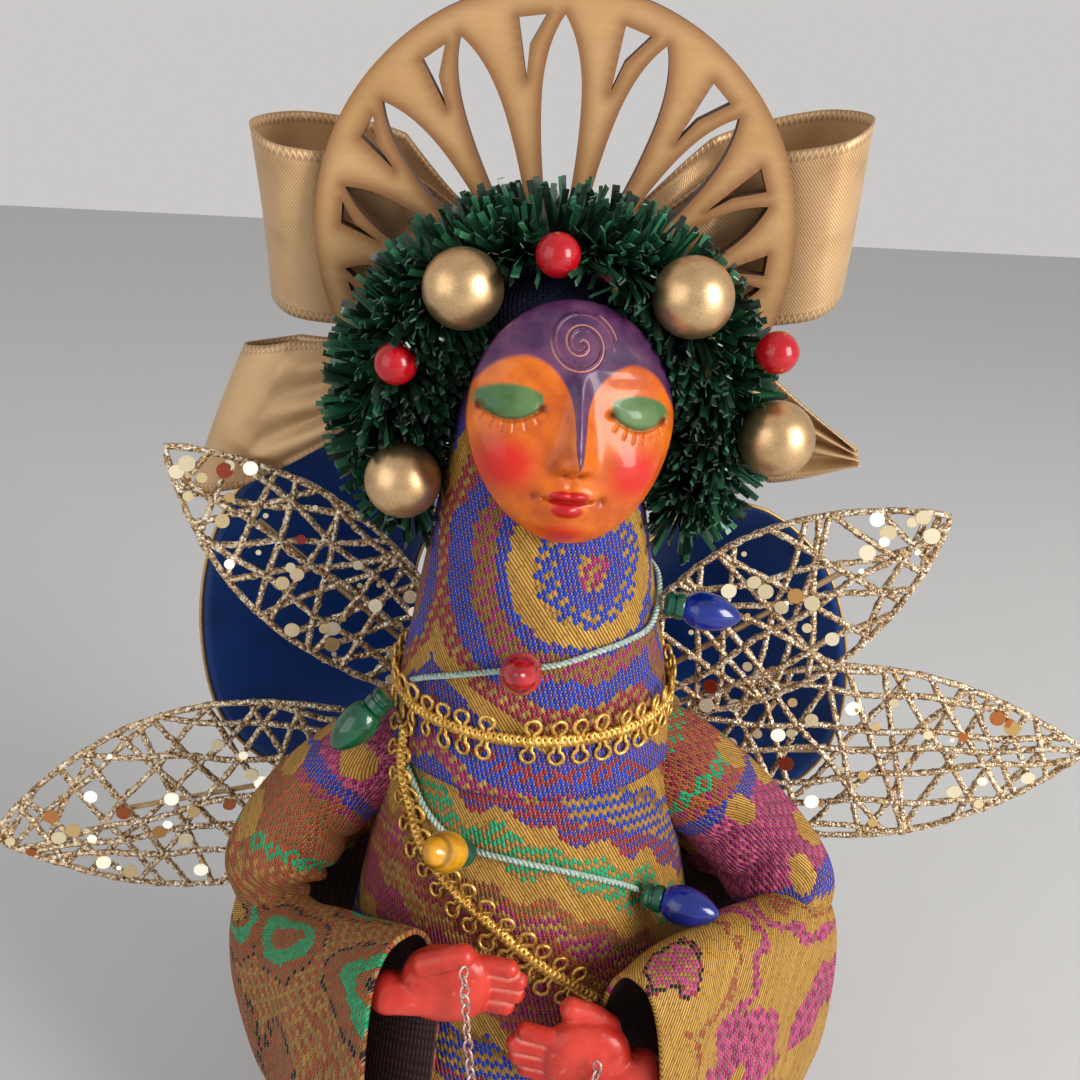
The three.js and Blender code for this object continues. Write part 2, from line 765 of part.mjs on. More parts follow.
const arcs = ['garland_lower_left', 'garland_upper_left', 'garland_upper_right', 'garland_lower_right'];
const arcSpan = degrees(archSpan) / arcs.length;
const arcGap = seatGap / archRadius;
arcs.forEach((name, k) => {
  const first = -degrees(archSpan) / 2 + k * arcSpan + arcGap / 2;
  const span = arcSpan - arcGap;
  const wire = loft(Array.from({ length: stationsPerArc + 1 }, (_, i) => {
    const angle = first + (span * i) / stationsPerArc;
    return Array.from({ length: strandsPerStation }, (__, j) => {
      const turn = (2 * Math.PI * (j + 0.5)) / strandsPerStation;
      return archPoint(angle).addScaledVector(archOut(angle, turn), garlandCoreRadius);
    });
  }));
  const strands = [];
  for (let i = 0; i < stationsPerArc; i++) {
    const angle = first + (span * (i + 0.5)) / stationsPerArc;
    for (let j = 0; j < strandsPerStation; j++) {
      const turn = (2 * Math.PI * j) / strandsPerStation;
      const trim = 1.4 * (0.5 + 0.5 * Math.sin(7.3 * i + 3.1 * j + k));
      strands.push(strand(angle, turn, strandLength - trim));
    }
  }
  add(name, joined([wire, ...strands.filter(Boolean)]), finishes.garland);
});

// Halo: a disc with a fan of petals about a hub below its middle, and a small triangle beside each petal
function hubPoint(angle, radius) {
  return new THREE.Vector2(radius * Math.sin(angle), radius * Math.cos(angle) - hubDrop);
}

function petalReach(angle) {
  const tip = haloRadius - haloRim;
  const fall = hubDrop * Math.cos(angle);
  return fall + Math.sqrt(fall * fall + tip * tip - hubDrop * hubDrop);
}

function petal(angle) {
  const reach = petalReach(angle);
  const along = (distance, side) => {
    const middle = hubPoint(angle, distance);
    return new THREE.Vector2(middle.x + side * Math.cos(angle), middle.y - side * Math.sin(angle));
  };
  const tip = along(reach, 0);
  const foot = along(petalFoot, 0);
  const path = new THREE.Path();
  path.moveTo(tip.x, tip.y);
  const bow = (distance, side, end) => {
    const control = along(distance, side);
    path.quadraticCurveTo(control.x, control.y, end.x, end.y);
  };
  bow(reach - petalTipBend, petalHalfWidth, along(reach - petalShoulder, petalHalfWidth));
  bow(reach - petalFootBend, petalHalfWidth, foot);
  bow(reach - petalFootBend, -petalHalfWidth, along(reach - petalShoulder, -petalHalfWidth));
  bow(reach - petalTipBend, -petalHalfWidth, tip);
  return path;
}

function besidePetal(angle) {
  const reach = petalReach(angle);
  const onRim = [besideNear, besideFar].map((turn) => {
    const side = angle - degrees(turn);
    return hubPoint(side, petalReach(side));
  });
  const inside = besideFoot.map(([turn, drop]) => hubPoint(angle - degrees(turn), reach - drop));
  return new THREE.Path([...onRim, ...inside]);
}

const disc = new THREE.Shape(new THREE.EllipseCurve(0, 0, haloRadius, haloRadius).getPoints(haloSides));
for (let k = -petalsEachSide; k <= petalsEachSide; k++) {
  const angle = degrees(k * petalStep);
  disc.holes.push(petal(angle), besidePetal(angle));
}
const plate = new THREE.ExtrudeGeometry(disc, {
  depth: haloThickness,
  bevelEnabled: false,
  curveSegments: 3,
});
const halo = add('halo_disc', welded(plate.translate(0, 0, -haloThickness)), finishes.plywood);
halo.position.copy(haloFront);
halo.rotation.x = Math.PI / 2 + coneHalfAngle;

// Ribbon bows
function ribbon(points, closed, widthAxis, widthAt, drawnIn = (point) => point) {
  const curve = new THREE.CatmullRomCurve3(points, closed, 'centripetal');
  const count = closed ? ribbonSteps : ribbonSteps / 2;
  const rings = Array.from({ length: closed ? count : count + 1 }, (_, i) => {
    const t = i / count;
    const point = curve.getPointAt(t);
    const across = new THREE.Vector3().crossVectors(curve.getTangentAt(t), widthAxis).normalize();
    const half = widthAt(point) / 2;
    const corner = (n, w) => (w > 0 ? drawnIn(point.clone()) : point.clone())
      .addScaledVector(across, (n * ribbonThickness) / 2)
      .addScaledVector(widthAxis, w * half);
    return [corner(1, 1), corner(1, -1), corner(-1, -1), corner(-1, 1)];
  });
  return loft(rings, closed);
}

// A knot: a pillow with rounded ends, pinched at its waist
function knot(size) {
  const rings = [-0.5, -0.4, 0, 0.4, 0.5].map((share) => {
    const round = share * share > 0.2 ? 0.7 : 1;
    const waist = knotWaist + 0.6 * share * share;
    return Array.from({ length: knotSides }, (_, i) => {
      const angle = (2 * Math.PI * i) / knotSides;
      return at(
        0.5 * size.x * round * waist * Math.cos(angle),
        0.5 * size.y * round * Math.sin(angle),
        size.z * share,
      );
    });
  });
  return loft(rings);
}

const haloBackAt = (height) => (
  haloFront.y + (haloThickness / Math.cos(coneHalfAngle)) - (height - haloHeight) * Math.tan(coneHalfAngle)
);
const knotSeat = (size) => (seatGap + size.y / 2) / Math.cos(coneHalfAngle);
const goldBow = new THREE.Group();
goldBow.position.set(0, haloBackAt(goldKnotHeight) + knotSeat(goldKnotSize), goldKnotHeight);
figure.add(goldBow);

add('gold_knot', knot(goldKnotSize), finishes.goldSatin, goldBow).rotation.x = coneHalfAngle;

const knotSide = (size) => (knotWaist * size.x) / 2 + seatGap + ribbonThickness;
const goldStart = knotSide(goldKnotSize);
const goldSpread = (point) => Math.min(goldWidth, 14 + 1.1 * Math.max(0, Math.hypot(point.x, point.z) - 12));

function goldLoop(name, reach, rise, bulge) {
  const side = Math.sign(reach);
  const far = Math.abs(reach);
  const plan = [
    [goldStart, -2],
    [goldStart + goldRun, -1],
    [0.62 * far, -0.06 * bulge],
    [0.9 * far, -0.2 * bulge],
    [far, 0.2 * bulge],
    [0.88 * far, 0.7 * bulge],
    [0.6 * far, 0.8 * bulge],
    [goldStart + goldRun, 9],
    [goldStart, 4],
  ];
  const lift = (x) => rise * Math.max(0, (x - goldStart) / (far - goldStart));
  const points = plan.map(([x, y]) => at(side * x, y, lift(x)));
  const mesh = add(name, ribbon(points, true, up, goldSpread), finishes.goldSatin, goldBow);
  mesh.rotation.x = goldLean;
  return mesh;
}

goldLoop('gold_loop_upper_left', -67, 11, goldBulge);
goldLoop('gold_loop_upper_right', 67, 18, goldBulge);

const lowAxis = at(0.36, 0, 0.93).normalize();
const lowStart = goldStart + 2 * seatGap;
const lowLoop = [
  at(-lowStart, 5, -13), at(-34, 6, -24), at(-56, 2, -33), at(-74, 3, -38),
  at(-80, 8, -39), at(-72, 14, -38), at(-52, 14, -33), at(-30, 12, -24), at(-lowStart, 8, -13),
];
add('gold_loop_lower_left', ribbon(lowLoop, true, lowAxis, (point) => (
  Math.min(goldWidth, 9 + 0.55 * Math.max(0, -point.x - 12))
)), finishes.goldSatin, goldBow);

const tailAxis = at(-0.34, 0, 0.94).normalize();
const tailRoute = [at(goldStart, 5, -10), at(30, 10, -20), at(56, 12, -34), at(78, 9, -41)];
add('gold_tail_right', ribbon(tailRoute, false, tailAxis, (point) => (
  Math.min(6 + 0.95 * Math.max(0, point.x - 14), 3 + 1.3 * (79 - point.x))
)), finishes.goldSatin, goldBow);

const blueBow = new THREE.Group();
const blueSeat = coneRadius(blueKnotHeight) + wrapOffset + knotSeat(blueKnotSize);
blueBow.position.set(0, blueSeat, blueKnotHeight);
figure.add(blueBow);
add('blue_knot', knot(blueKnotSize), finishes.blueSatin, blueBow).rotation.x = coneHalfAngle;

const blueStart = knotSide(blueKnotSize);
const blueSpread = (point) => Math.min(blueWidth, 12 + 1.2 * Math.max(0, Math.hypot(point.x, point.z) - 12));
const blueLoops = {
  blue_loop_left: [
    [-blueStart, 3], [-30, 38], [-57, 53], [-81, 38], [-93, 0],
    [-86, -33], [-64, -47], [-36, -30], [-20, -14], [-blueStart, -3],
  ],
  blue_loop_right: [
    [blueStart, 3], [30, 31], [54, 40], [77, 25], [87, -6],
    [82, -36], [62, -50], [36, -32], [20, -15], [blueStart, -3],
  ],
};
Object.entries(blueLoops).forEach(([name, outline]) => {
  const points = outline.map(([x, z]) => (
    at(x, blueShift * Math.min(1, (Math.abs(x) - blueStart) / blueRun), z)
  ));
  const anchor = at(outline[0][0], 0, 0);
  const drawnIn = (point) => point.set(
    anchor.x + blueBackShare * (point.x - anchor.x),
    point.y,
    blueBackShare * point.z,
  );
  add(name, ribbon(points, true, at(0, 1, 0), blueSpread, drawnIn), finishes.blueSatin, blueBow);
});

// Wings: leaf-shaped plates cut to an irregular net
function leafHalf(wing, share) {
  return 0.5 * wing.breadth * Math.max(0, Math.sin(Math.PI * share ** 1.2)) ** 0.85;
}

// Crossing points of the net, shaken a little so that no two meshes are alike
function netPoint(wing, i, j) {
  const first = wingStemClear / wing.length + 0.05;
  const shake = Math.sin(5.1 * i + 8.7 * j + wing.breadth);
  const share = first + ((0.95 - first) * (i + (i > 0 && i < wingRows ? 0.28 * shake : 0))) / wingRows;
  const side = (2 * j) / wingColumns - 1;
  const edge = j === 0 || j === wingColumns;
  const half = Math.max(0.1, leafHalf(wing, share) - wingRim);
  const slip = edge ? 0 : 0.16 * Math.cos(3.7 * i + 2.3 * j + wing.breadth);
  return new THREE.Vector2(share * wing.length, half * (side + slip));
}

// Moves the sides of a convex gap inwards by half a strand; null where nothing is left
function inset(corners) {
  const count = corners.length;
  const lines = corners.map((p, i) => {
    const q = corners[(i + 1) % count];
    const along = q.clone().sub(p).normalize();
    const inner = new THREE.Vector2(-along.y, along.x);
    return { point: p.clone().addScaledVector(inner, netStrand / 2), along };
  });
  const moved = lines.map((line, i) => {
    const last = lines[(i + count - 1) % count];
    const cross = last.along.cross(line.along);
    const t = line.point.clone().sub(last.point).cross(line.along) / cross;
    return last.point.clone().addScaledVector(last.along, t);
  });
  const kept = moved.every((p, i) => (
    moved[(i + 1) % count].clone().sub(p).dot(lines[i].along) > netStrand / 2
  ));
  return kept ? moved : null;
}

function wingNet(wing) {
  const outline = [];
  const edgeSteps = 12;
  const first = wingStemClear / wing.length;
  for (let i = 0; i <= edgeSteps; i++) {
    const share = first + ((1 - first) * i) / edgeSteps;
    outline.push(new THREE.Vector2(share * wing.length, leafHalf(wing, share)));
  }
  const leaf = new THREE.Shape([
    ...outline.map((p) => new THREE.Vector2(p.x, -p.y)),
    ...outline.slice(0, -1).reverse(),
  ]);
  for (let i = 0; i < wingRows; i++) {
    for (let j = 0; j < wingColumns; j++) {
      const [a, b] = [netPoint(wing, i, j), netPoint(wing, i + 1, j)];
      const [c, d] = [netPoint(wing, i + 1, j + 1), netPoint(wing, i, j + 1)];
      const pairs = [[[a, b, c], [a, c, d]], [[a, b, c, d]], [[a, b, d], [b, c, d]]];
      const gaps = pairs[(i + 2 * j) % 3].map(inset).filter(Boolean);
      gaps.forEach((gap) => leaf.holes.push(new THREE.Path(gap)));
    }
  }
  const net = new THREE.ExtrudeGeometry(leaf, { depth: wingThickness, bevelEnabled: false });
  return welded(net.translate(0, 0, -wingThickness / 2));
}

wings.forEach((wing) => {
  const net = add(`wing_${wing.name}`, wingNet(wing), finishes.glitter);
  net.position.copy(wing.root);
  net.quaternion.setFromRotationMatrix(new THREE.Matrix4().makeBasis(wing.along, wing.across, wing.normal));
  add(`wing_wire_${wing.name}`, tube(wingWireRoute(wing), wingWireRadius, 10, wireSides), finishes.wire);
});

// Gold braid: a ring round the collar, and a tail that crosses the chest
function braidSection(point, along, out, width) {
  const across = new THREE.Vector3().crossVectors(along, out).normalize();
  const corner = (w, depth) => point.clone()
    .addScaledVector(across, (w * width) / 2)
    .addScaledVector(out, depth);
  return [corner(1, 0), corner(-1, 0), corner(-1, braidThickness), corner(1, braidThickness)];
}

const bodyNormal = (azimuth) => outward(azimuth, THREE.MathUtils.radToDeg(coneHalfAngle));
const collarRings = Array.from({ length: collarSides }, (_, i) => {
  const azimuth = (360 * i) / collarSides;
  const point = onBody(azimuth, collarHeight, wrapOffset + 2 * seatGap);
  return braidSection(point, outward(azimuth + 90), bodyNormal(azimuth), braidWidth);
});
add('collar_braid', loft(collarRings, true), finishes.gold);

const tailPath = new THREE.CatmullRomCurve3([
  [-58, 7], [-54.5, -2], [-49, -9], [-40, -16], [-27, -22], [-10, -29], [6.4, -37.5], [24, -47],
].map(([azimuth, overHem]) => {
  const height = wrapHemHeight + overHem;
  const lies = height > wrapHemHeight - braidWidth ? wrapOffset : robeOffset;
  return onBody(azimuth, height, lies + 2 * seatGap);
}));
const tailSteps = 16;
add('front_braid', loft(Array.from({ length: tailSteps + 1 }, (_, i) => {
  const point = tailPath.getPointAt(i / tailSteps);
  const azimuth = THREE.MathUtils.radToDeg(Math.atan2(point.x, -point.y));
  return braidSection(point, tailPath.getTangentAt(i / tailSteps), bodyNormal(azimuth), braidWidth);
})), finishes.gold);

// Light string: two stretches of cord that lie on the cloth, and five bulbs in sockets
const cordLift = seatGap + cordRadius;
const upperCord = [
  [112, 189], [92, 188], [75, 184.5], [60, 181.5], [44, 181], [28, 180.3],
  [10, 178.4], [-4, 177.4], [-20, 175.4], [-36, 172.6], [-50, 169.5], [-58, 167.2],
].map(([azimuth, height]) => onBody(azimuth, height, wrapOffset + cordLift));
add('light_cord_upper', tube(upperCord, cordRadius, 22), finishes.cord);

const lowerCord = [
  [-54, 147.5], [-48, 145], [-41, 141.5], [-30, 138], [-19.6, 136.2], [-9, 135.6], [3, 134.5], [16, 132.3],
  [27, 129.4], [36, 126.4], [42, 123.8],
].map(([azimuth, height]) => onBody(azimuth, height, robeOffset + cordLift));
add('light_cord_lower', tube(lowerCord, cordRadius, 20), finishes.cord);

const overCord = 2 * seatGap + 2 * cordRadius;
const overBraid = 3 * seatGap + braidThickness;
const { redBulb, blueBulb, greenBulb, yellowBulb } = finishes;
const lights = [
  { name: 'red', place: [-4, 177.4, wrapOffset + overCord + 0.4], turn: [-2, 24], colour: redBulb },
  { name: 'blue_upper', place: [75, 184.5, wrapOffset + overCord + 0.3], turn: [82, -6], colour: blueBulb },
  { name: 'green', place: [-63, collarHeight + greenOverCollar, wrapOffset + overBraid + 2.3], turn: [-72, -44], colour: greenBulb },
  { name: 'yellow', place: [-19.6, 136.2, robeOffset + overCord + 0.8], turn: [-28, 32], colour: yellowBulb },
  { name: 'blue_lower', place: [43, 122.8, robeOffset + overCord], turn: [70, 0], colour: blueBulb },
];

const bulbProfile = [
  [0, 0], [0.62, 0], [0.92, 0.16], [1, 0.34], [0.9, 0.58], [0.62, 0.8], [0.3, 0.94], [0, 1],
].map(([radius, height]) => [radius * bulbRadius, socketLength + seatGap + height * bulbLength]);

lights.forEach(({ name, place, turn, colour }) => {
  const light = new THREE.Group();
  light.position.copy(onBody(...place));
  light.quaternion.setFromUnitVectors(up, outward(...turn));
  figure.add(light);
  const socket = turned([
    [0, 0],
    [socketRadius * 0.8, 0],
    [socketRadius, 1],
    [socketRadius, socketLength],
    [0, socketLength],
  ], bulbSides);
  add(`socket_${name}`, socket, finishes.socket, light);
  add(`bulb_${name}`, turned(bulbProfile, bulbSides), colour, light);
});

// Chain: it hangs in a deep bight from the grip of one hand to the grip of the other
const leftGrip = at(leftWrist.x + leftGripReach, leftWrist.y - leftGripFront, leftWrist.z + leftGripLift);
const rightGrip = at(rightWrist.x - rightGripReach, rightWrist.y - rightGripFront, rightWrist.z + rightGripLift);
const chainRoute = [
  [0, 1], [0.03, 0.8], [0.08, 0.55], [0.15, 0.32], [0.26, 0.12], [0.42, 0.01], [0.58, 0.02], [0.74, 0.15],
  [0.87, 0.38], [0.94, 0.62], [0.98, 0.84], [1, 1],
].map(([share, height]) => {
  const end = share < 0.5 ? leftGrip.z : rightGrip.z;
  const point = leftGrip.clone().lerp(rightGrip, share);
  return point.setZ(chainLow + height * (end - chainLow));
});
add('chain', tube(chainRoute, chainRadius, 22), finishes.silver);

export default figure;
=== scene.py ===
import math

import bpy
import numpy as np
from mathutils import Matrix, Vector


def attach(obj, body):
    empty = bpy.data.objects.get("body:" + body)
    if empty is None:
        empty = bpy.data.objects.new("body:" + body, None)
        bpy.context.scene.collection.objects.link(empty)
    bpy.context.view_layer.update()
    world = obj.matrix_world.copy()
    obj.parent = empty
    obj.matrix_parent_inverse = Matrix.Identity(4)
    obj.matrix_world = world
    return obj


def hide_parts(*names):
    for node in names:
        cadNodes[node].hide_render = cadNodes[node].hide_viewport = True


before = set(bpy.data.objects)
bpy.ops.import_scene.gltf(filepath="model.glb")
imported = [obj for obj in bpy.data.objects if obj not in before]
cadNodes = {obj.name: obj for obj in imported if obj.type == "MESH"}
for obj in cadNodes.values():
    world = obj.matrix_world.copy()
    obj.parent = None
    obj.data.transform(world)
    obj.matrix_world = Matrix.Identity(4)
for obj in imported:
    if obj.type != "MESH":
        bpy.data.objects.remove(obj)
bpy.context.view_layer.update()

mm = 0.001  # every size below is in millimetres and becomes metres as it goes into a mesh
chance = np.random.default_rng(7)

# the cone that the whole doll is built on
cone = {"foot": 59.5, "lean": math.radians(10.92), "robe": 1.5, "wrap": 3.0}


def coneRadius(height):
    return cone["foot"] - height * math.tan(cone["lean"])


def onBody(azimuth, height, offset):
    angle = np.radians(azimuth)
    radius = coneRadius(height) + offset
    return np.stack([radius * np.sin(angle), -radius * np.cos(angle), height + 0 * angle], -1)


def outward(azimuth, elevation=0.0):
    a, e = math.radians(azimuth), math.radians(elevation)
    return np.array([math.sin(a) * math.cos(e), -math.cos(a) * math.cos(e), math.sin(e)])


def unit(vectors):
    return vectors / np.linalg.norm(vectors, axis=-1, keepdims=True)


def smooth(low, high, value):
    share = np.clip((value - low) / (high - low), 0, 1)
    return share * share * (3 - 2 * share)


def ripple(u, v, seed, waves=5):
    # soft crumples: a few crossing waves, about -1 to 1
    draw = np.random.default_rng(seed)
    total = 0 * u
    for _ in range(waves):
        turn, phase, speed = draw.uniform(0, math.pi), draw.uniform(0, 6.3), draw.uniform(0.6, 1.5)
        total = total + np.sin(speed * (u * math.cos(turn) + v * math.sin(turn)) + phase)
    return total / waves


def spline(points, count, closed=False):
    p = np.array(points, float)
    ends = (p[-1:], p[:2]) if closed else (2 * p[:1] - p[1:2], 2 * p[-1:] - p[-2:-1])
    q = np.vstack([ends[0], p, ends[1]])
    t = np.linspace(0, 1, 24, endpoint=False)[:, None]
    runs = []
    for a, b, c, d in zip(q, q[1:], q[2:], q[3:]):
        k1, k2, k3 = (max(np.linalg.norm(e) ** 0.5, 1e-6) for e in (b - a, c - b, d - c))
        m1 = ((b - a) / k1 - (c - a) / (k1 + k2) + (c - b) / k2) * k2
        m2 = ((c - b) / k2 - (d - b) / (k2 + k3) + (d - c) / k3) * k2
        runs.append((2 * t**3 - 3 * t**2 + 1) * b + (t**3 - 2 * t**2 + t) * m1
                    + (3 * t**2 - 2 * t**3) * c + (t**3 - t**2) * m2)
    line = np.vstack(runs + [p[:1] if closed else p[-1:]])
    along = np.concatenate([[0], np.cumsum(np.linalg.norm(np.diff(line, axis=0), axis=1))])
    stops = np.linspace(0, along[-1], count, endpoint=not closed)
    return np.stack([np.interp(stops, along, line[:, k]) for k in range(line.shape[1])], -1)


def lengthOf(line):
    return float(np.linalg.norm(np.diff(line, axis=0), axis=1).sum())


def directions(line, closed=False):
    if closed:
        return unit(np.roll(line, -1, 0) - np.roll(line, 1, 0))
    return unit(np.gradient(line, axis=0))


# objects and meshes
def clearPick():
    bpy.ops.object.select_all(action="DESELECT")


def pick(piece):
    clearPick()
    piece.select_set(True)
    bpy.context.view_layer.objects.active = piece


def pointsOf(piece):
    flat = np.empty(len(piece.data.vertices) * 3, np.float32)
    piece.data.vertices.foreach_get("co", flat)
    return flat.reshape(-1, 3).astype(float) / mm


def setPoints(piece, points):
    piece.data.vertices.foreach_set("co", (np.asarray(points) * mm).astype(np.float32).ravel())
    piece.data.update()


def named(name):
    piece = bpy.context.active_object
    piece.name = piece.data.name = name
    return piece


def inEdit(piece, *steps):
    pick(piece)
    bpy.ops.object.mode_set(mode="EDIT")
    bpy.ops.mesh.select_all(action="SELECT")
    for step, settings in steps:
        step(**settings)
    bpy.ops.object.mode_set(mode="OBJECT")
    return piece


mergeStep = (bpy.ops.mesh.remove_doubles, {"threshold": 0.002 * mm})


def weld(piece):
    return inEdit(piece, mergeStep)


def faceOut(piece):
    return inEdit(piece, mergeStep, (bpy.ops.mesh.normals_make_consistent, {"inside": False}))


def modify(piece, kind, **settings):
    pick(piece)
    modifier = piece.modifiers.new(kind.title(), kind)
    for key, value in settings.items():
        setattr(modifier, key, value)
    bpy.ops.object.modifier_apply(modifier=modifier.name)
    return piece


def cornersOf(piece):
    corner = np.empty(len(piece.data.loops), np.int32)
    piece.data.loops.foreach_get("vertex_index", corner)
    return corner


def setUv(piece, values):
    layer = piece.data.uv_layers.active or piece.data.uv_layers.new()
    layer.name = "cloth"
    layer.data.foreach_set("uv", values[cornersOf(piece)].astype(np.float32).ravel())


def setMask(piece, name, values, domain="POINT"):
    mask = piece.data.attributes.new(name, "FLOAT", domain)
    mask.data.foreach_set("value", np.asarray(values, np.float32))


def soften(piece, angle=40):
    pick(piece)
    bpy.ops.object.shade_smooth_by_angle(angle=math.radians(angle))
    return piece


def smoothed(piece):
    pick(piece)
    bpy.ops.object.shade_smooth()
    return piece


def added(name, data):
    piece = bpy.data.objects.new(name, data)
    bpy.context.scene.collection.objects.link(piece)
    return piece


def newGrid(name, across, along):
    # a flat grid, and the places of its points across and along, from -1 to 1
    clearPick()
    bpy.ops.mesh.primitive_grid_add(x_subdivisions=across, y_subdivisions=along, size=2)
    piece = named(name)
    flat = pointsOf(piece) * mm
    return piece, flat[:, 0], flat[:, 1]


def clothSheet(name, across, along, place, pattern, thick, closed=False, faces=()):
    # a flat grid is laid over its shape, keeps its flat pattern as UV in mm, and gets its thickness
    piece, x, y = newGrid(name, across, along)
    u, v = (x + 1) / 2, (y + 1) / 2
    setPoints(piece, place(u, v))
    setUv(piece, pattern(u, v))
    if closed:
        weld(piece)
    for material in faces:
        piece.data.materials.append(material)
    inner = max(0, len(faces) - 1)
    modify(piece, "SOLIDIFY", thickness=thick * mm, offset=-1.0, material_offset=inner)
    return smoothed(piece)


def manyTubes(name, lines, radius, sides=6):
    curve = bpy.data.curves.new(name, "CURVE")
    curve.dimensions = "3D"
    curve.bevel_depth = radius * mm
    curve.bevel_resolution = max(0, sides // 2 - 2)
    curve.use_fill_caps = True
    for line, closed in lines:
        run = curve.splines.new("POLY")
        run.points.add(len(line) - 1)
        run.points.foreach_set("co", np.hstack([np.asarray(line) * mm, np.ones((len(line), 1))]).ravel())
        run.use_cyclic_u = closed
    pick(added(name, curve))
    bpy.ops.object.convert(target="MESH")
    return named(name)


def tube(name, line, radius, sides=8, closed=False):
    return smoothed(manyTubes(name, [(line, closed)], radius, sides))


def gather(name, pieces):
    clearPick()
    for piece in pieces:
        piece.select_set(True)
    bpy.context.view_layer.objects.active = pieces[0]
    bpy.ops.object.join()
    return named(name)


def strew(name, model, places, tints):
    # one mesh of many copies of a small model, each with its own tint
    base, corner = pointsOf(model), cornersOf(model)
    start = np.empty(len(model.data.polygons), np.int32)
    model.data.polygons.foreach_get("loop_start", start)
    places = np.asarray(places, float)
    shift = np.arange(len(places))[:, None]
    points = np.einsum("kij,nj->kni", places[:, :3, :3], base) + places[:, None, :3, 3]
    mesh = bpy.data.meshes.new(name)
    fills = [(mesh.vertices, "co", (points * mm).astype(np.float32), 3),
             (mesh.loops, "vertex_index", (corner + shift * len(base)).astype(np.int32), 1),
             (mesh.polygons, "loop_start", (start + shift * len(corner)).astype(np.int32), 1)]
    for items, key, values, each in fills:
        items.add(values.size // each)
        items.foreach_set(key, values.ravel())
    mesh.update(calc_edges=True)
    bpy.data.objects.remove(model)
    piece = added(name, mesh)
    setMask(piece, "tint", np.repeat(np.asarray(tints, float), len(base)))
    return piece


def placed(centre, x, y, z, size=1.0):
    matrix = np.eye(4)
    matrix[:3, :3] = np.stack([x, y, z], 1) * size
    matrix[:3, 3] = centre
    return matrix


def around(axis):
    # two directions square to an axis
    axis = unit(np.asarray(axis, float))
    other = np.array([0, 0, 1.0]) if abs(axis[2]) < 0.9 else np.array([1.0, 0, 0])
    side = unit(np.cross(other, axis))
    return side, np.cross(axis, side)


def turned(name, profile, steps, centre, axis):
    # a half outline [radius, height] is spun about Z and then stood on its axis
    mesh = bpy.data.meshes.new(name)
    edges = [(i, i + 1) for i in range(len(profile) - 1)]
    mesh.from_pydata([(r * mm, 0, h * mm) for r, h in profile], edges, [])
    spin = {"steps": steps, "angle": 2 * math.pi, "center": (0, 0, 0), "axis": (0, 0, 1)}
    piece = faceOut(inEdit(added(name, mesh), (bpy.ops.mesh.spin, spin)))
    side, other = around(axis)
    stand = np.stack([side, other, unit(np.asarray(axis, float))])
    setPoints(piece, pointsOf(piece) @ stand + centre)
    return soften(piece, 35)


# shader values and nodes
class Value:
    def __init__(self, paint, socket):
        self.paint, self.socket = paint, socket

    def also(self, output):
        return Value(self.paint, self.socket.node.outputs[output])

    def math(self, operation, *others):
        return self.paint.node("Math", {"operation": operation}, dict(enumerate((self, *others))))

    def swapped(self, operation, other):
        return self.paint.node("Math", {"operation": operation}, {0: other, 1: self})

    def __add__(self, other):
        return self.math("ADD", other)

    def __sub__(self, other):
        return self.math("SUBTRACT", other)

    def __rsub__(self, other):
        return self.swapped("SUBTRACT", other)

    def __mul__(self, other):
        return self.math("MULTIPLY", other)

    def __truediv__(self, other):
        return self.math("DIVIDE", other)

    def __pow__(self, other):
        return self.math("POWER", other)

    def __gt__(self, other):
        return self.math("GREATER_THAN", other)

    def __lt__(self, other):
        return self.math("LESS_THAN", other)

    def __mod__(self, other):
        return self.math("FLOORED_MODULO", other)

    __radd__ = __add__
    __rmul__ = __mul__

    def floor(self):
        return self.math("FLOOR")

    def fract(self):
        return self.math("FRACT")

    def hump(self):
        # 0 at both ends of 0 to 1, and 1 in the middle
        return (self * math.pi).math("SINE")

    def between(self, low, high):
        return self.paint.node("MapRange", {"interpolation_type": "SMOOTHSTEP"},
                               {"Value": self, "From Min": low, "From Max": high})


